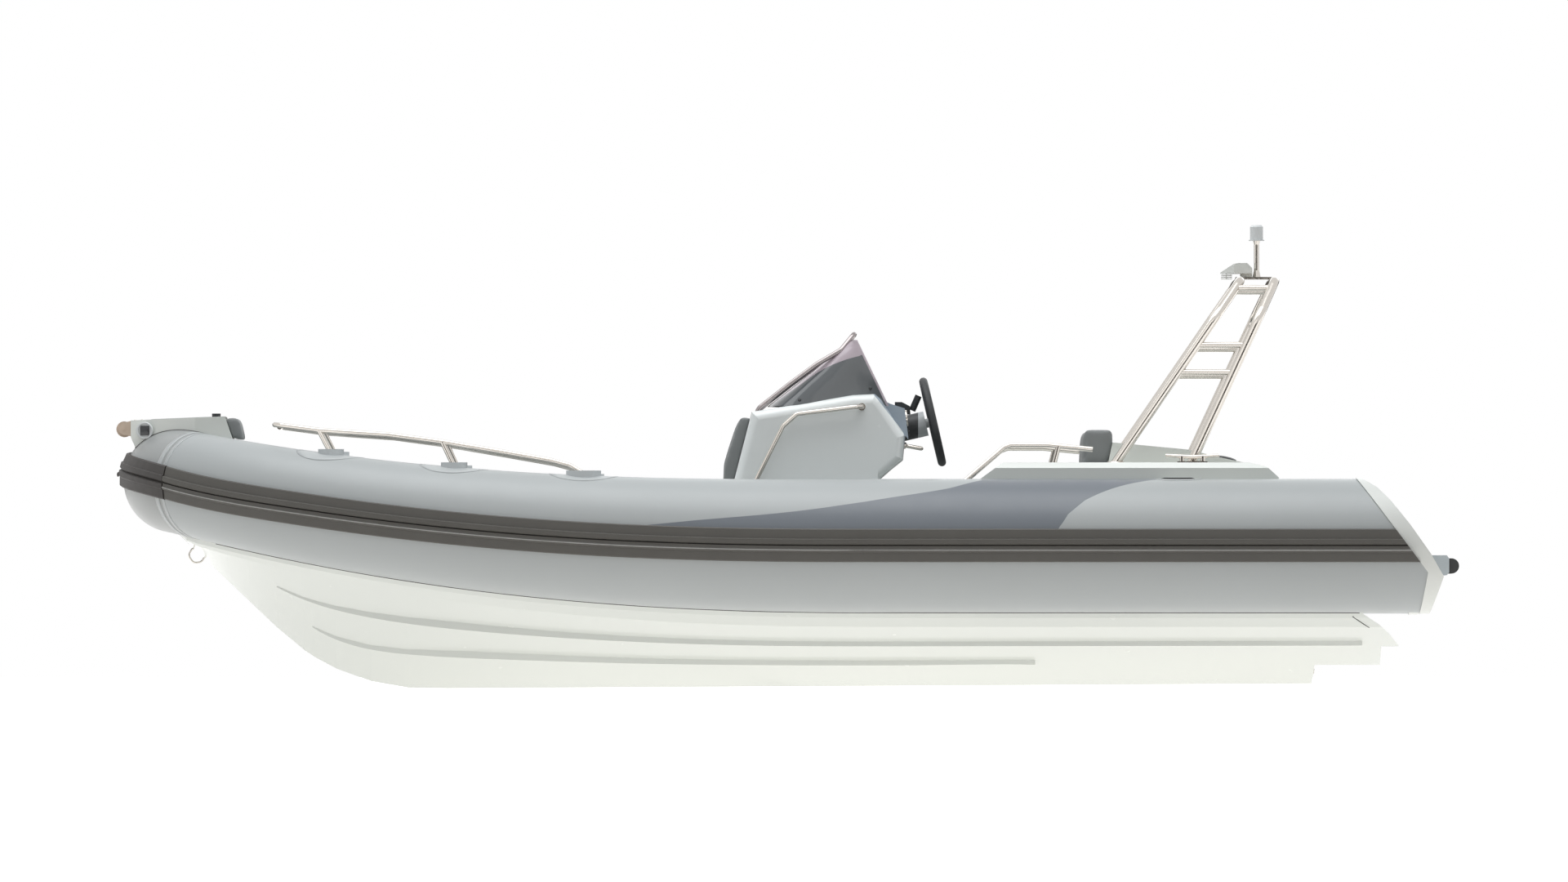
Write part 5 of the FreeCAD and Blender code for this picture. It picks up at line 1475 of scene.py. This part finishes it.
# %% Key, socket and tilt lever
KEY = [(-0.002, -0.002), (0.022, -0.009), (0.030, 0), (0.022, 0.009), (-0.002, 0.002)]
KEY_LOCK = [(0, 0.012), (0.006, 0.012), (0.0075, 0.010), (0.0075, 0.004), (0.013, 0.003), (0.015, -0.002),
            (0, -0.002)]
SOCKET_CAP = [(0, 0.005), (0.010, 0.006), (0.012, 0.004), (0.015, 0.003), (0.016, -0.002), (0, -0.002)]
LEVER = [(0, 0.084), (0.005, 0.083), (0.0085, 0.079), (0.0095, 0.072), (0.0085, 0.010), (0.013, 0.008),
         (0.015, 0.002), (0.015, -0.003), (0, -0.003)]
LEVER_AXIS = (-0.985, 0, -0.17)

key_place, key_way = dash_seat(-0.186, 0.868)
turned("key_switch", [(key_place, key_way)], KEY_LOCK, "steel")
panels("key", [(key_place + key_way * 0.010, LEFT)], KEY, 0.0022, "black_plastic", along=ASTERN)
turned("socket_cap", [dash_seat(-0.186, 0.825)], SOCKET_CAP, "black_plastic")
lever_root = landed((HELM_X, 0.09, 0.771), AHEAD, "console", "console_dash")[0]
turned("tilt_lever", [(lever_root, LEVER_AXIS)], LEVER, "steel")
print("helm fitted out")

# %% [markdown]
# ## Decks
# A moulded deck has raised non-slip fields with smooth margins, where water runs off. Each field is a
# thin plate with round corners, sunk a little so that no gap shows under it.

# %% Non-slip fields
DECK_Z = 0.090
STEP_Z = 0.205
SUNK = 0.0006
FIELDS = (("fore_field", (1.030, 0, DECK_Z), slab(0.56, 0.96, 0.05)),
          ("aft_field", (-0.640, 0, DECK_Z), slab(0.30, 0.98, 0.05)),
          ("port_field", (-0.130, 0.450, DECK_Z), slab(0.66, 0.20, 0.04)),
          ("starboard_field", (-0.130, -0.450, DECK_Z), slab(0.66, 0.20, 0.04)),
          ("port_step_field", (-2.640, 0.440, STEP_Z), slab(0.21, 0.22, 0.03)),
          ("starboard_step_field", (-2.640, -0.440, STEP_Z), slab(0.21, 0.22, 0.03)))

finishes["field"] = moulding("non_slip_field", (0.52, 0.545, 0.54)).done()
for name, place, outline in FIELDS:
    panels(name, [moved((Vector(place), UP), -SUNK)], outline, 0.0031, "deck_gelcoat", finish="field")
print(len(FIELDS), "fields")

# %% [markdown]
# Round covers give a hand access to the bilge, one ahead of the console and one in the engine well, where
# two drains let the water out.

# %% Covers and drains
COVER = [(0, 0.004), (0.052, 0.004), (0.055, 0.002), (0.058, 0.005), (0.071, 0.004), (0.074, 0.0),
         (0.074, -0.001), (0, -0.001)]

cover_seats = [((1.03, 0, DECK_Z + 0.002), UP), ((-2.30, 0.22, DECK_Z), UP)]
turned("bilge_covers", cover_seats, COVER, "lamp_lens", steps=48)
turned("well_drains", on_both_sides(-2.36, 0.34, DECK_Z, UP), ring(0.014, 0.024, 0.003, 0.001), "steel")
print(len(cover_seats), "covers")

# %% [markdown]
# The bench locker breathes through two round vents. A vent is a dark disc with ring-shaped slots, which
# its profile has as notches.

# %% Vents of the bench
VENT_SLOTS = 5
SLOT_STEP = 0.011

vent = [(0, 0.004)]
for step in range(1, VENT_SLOTS + 1):
    reach = step * SLOT_STEP
    vent += [(reach - 0.002, 0.004), (reach - 0.001, 0.0015), (reach, 0.004)]
vent += [(0.062, 0.005), (0.070, 0.003), (0.071, -0.002), (0, -0.002)]
vent_seats = mirrored([(0, 0.38, 0.26)], ASTERN, "stern_bench")
turned("bench_vents", vent_seats, vent, "black_plastic", steps=48)
print(len(vent_seats), "vents of", VENT_SLOTS, "slots")

# %% [markdown]
# The lockers are reached by doors of their own. A door is a raised panel with rounded rims, and a steel
# latch lies on it, a little sunk.

# %% Doors and latches
LATCH = slab(0.045, 0.030, 0.006)
DOOR_LATCH = slab(0.030, 0.055, 0.006)

locker_seat = landed((1.0, 0, 0.31), AHEAD, "bow_locker")
latch_place = locker_seat[0] + ASTERN * 0.0078 + UP * 0.07
panels("locker_door", [locker_seat], slab(0.46, 0.20, 0.025), 0.008, "gelcoat", edge=0.003, along=LEFT)
panels("locker_latch", [(latch_place, ASTERN)], LATCH, 0.004, "steel", along=LEFT)

door_place, door_way = landed((HELM_X, 0, 0.40), AHEAD, "console")
latch_place = door_place + ASTERN * 0.0095 + LEFT * 0.16
panels("console_door", [(door_place, door_way)], slab(0.40, 0.42, 0.03), 0.010, "gelcoat", edge=0.003,
       along=LEFT)
panels("door_latch", [(latch_place, door_way)], DOOR_LATCH, 0.005, "steel", along=LEFT)

side_seats = mirrored([(0.48, 1, 0.24)], LEFT, "front_seat")
panels("seat_doors", side_seats, slab(0.26, 0.18, 0.02), 0.006, "gelcoat", edge=0.002)
turned("seat_latches", [moved(seat, 0.006, AHEAD * 0.10) for seat in side_seats], knob(0.011, 0.004), "steel")
print(2 + len(side_seats), "doors")

# %% [markdown]
# On the stern deck, low domes cover the vents of the bilge, and a steel cap closes the fuel filler. The
# arch stands on round flanges, each held by four bolts.

# %% Fittings of the stern deck
VENTS_AT = ((-1.898, 0.30, 2),)
FILLER_AT = (-1.95, -0.55, 2)
ARCH_FEET = ((-1.4163, 0.669, 0.72), (-1.741, 0.669, 0.72))
QUARTER_TURN = math.pi / 2
BOLT_CIRCLE, FLANGE_TOP = 0.031, 0.0035
DOME = [(0, 0.013), (0.020, 0.0125), (0.036, 0.010), (0.044, 0.006), (0.047, -0.004), (0, -0.004)]
FILLER = [(0, 0.004), (0.012, 0.004), (0.013, 0.0065), (0.017, 0.0065), (0.018, 0.004), (0.026, 0.0055),
          (0.034, 0.003), (0.035, -0.002), (0, -0.002)]
FLANGE = [(0, 0.005), (0.026, 0.005), (0.034, 0.004), (0.037, 0.001), (0.037, -0.001), (0, -0.001)]

turned("stern_vents", mirrored(VENTS_AT, DOWN, "stern_bench"), DOME, "black_plastic", steps=40)
turned("filler_cap", [landed(FILLER_AT, DOWN, "stern_bench")], FILLER, "steel", steps=40)
foot_seats = mirrored(ARCH_FEET, DOWN, "stern_bench")
turned("arch_flanges", foot_seats, FLANGE, "steel", steps=40)
around = [Vector((math.cos(turn), math.sin(turn), 0)) for turn in (QUARTER_TURN, -QUARTER_TURN, 0, math.pi)]
bolt_seats = [(place + out * BOLT_CIRCLE + UP * FLANGE_TOP, UP) for place, _ in foot_seats for out in around]
turned("arch_bolts", bolt_seats, screw(0.0042, 0.003), "steel", steps=12)
print(len(bolt_seats), "bolts")

# %% [markdown]
# Towing eyes are bent bars on steel plates. Plugs close the drains of the transom and of the hull, and a
# short dark slot slants across the side of each wing.

# %% Fittings of the transom
TRANSOM_BACK = -2.480
EYE = ((0.002, 0, 0.028), (-0.018, 0, 0.028), (-0.038, 0, 0.022), (-0.046, 0, 0), (-0.038, 0, -0.022),
       (-0.018, 0, -0.028), (0.002, 0, -0.028))
PLUG = [(0, 0.009), (0.006, 0.009), (0.007, 0.004), (0.014, 0.004), (0.017, 0.001), (0.017, -0.002),
        (0, -0.002)]
SLOT = ((-2.434, 2, 0.030), (-2.458, 2, 0.014), (-2.482, 2, -0.002), (-2.507, 2, -0.017))
HULL_DRAIN = [(0, 0.006), (0.010, 0.006), (0.013, 0.003), (0.016, 0), (0.016, -0.002), (0, -0.002)]

eye_seats = on_both_sides(TRANSOM_BACK, 0.27, 0.40, ASTERN)
panels("towing_plates", eye_seats, slab(0.034, 0.095, 0.012), 0.003, "steel", along=LEFT)
eye_lines = [[place + Vector(point) for point in EYE] for place, _ in eye_seats]
swept("towing_eyes", eye_lines, 0.005, "steel", order=3)
turned("drain_plugs", on_both_sides(TRANSOM_BACK, 0.12, 0.10, ASTERN), PLUG, "steel")
slot_points = [place for place, _ in mirrored(SLOT, LEFT, "hull")]
slot_lines = [slot_points[:len(SLOT)], slot_points[len(SLOT):]]
swept("wing_slots", slot_lines, 0.0025, "rubber_dark", order=2, finish="sealant")
turned("hull_drain", [landed((-2.6, 0, -0.205), AHEAD, "hull")], HULL_DRAIN, "steel")
print("transom fitted out")

# %% [markdown]
# The rungs of the ladder carry a plastic tread on each side. They ride on the ladder, so they move with it.

# %% Treads of the ladder
FIRST_TREAD = Vector((-2.704, 0.440, 0.263))
RUNG_STEP = 0.165
RUNG_DEPTH = 0.026

rung_tops = [(FIRST_TREAD, UP), (FIRST_TREAD + AHEAD * RUNG_STEP, UP)]
rung_backs = [(place + DOWN * RUNG_DEPTH, DOWN) for place, _ in rung_tops]
panels("ladder_treads", rung_tops + rung_backs, slab(0.042, 0.13, 0.006), 0.004, "black_plastic",
       "boarding_ladder", edge=0.0015)
print(len(rung_tops + rung_backs), "treads")
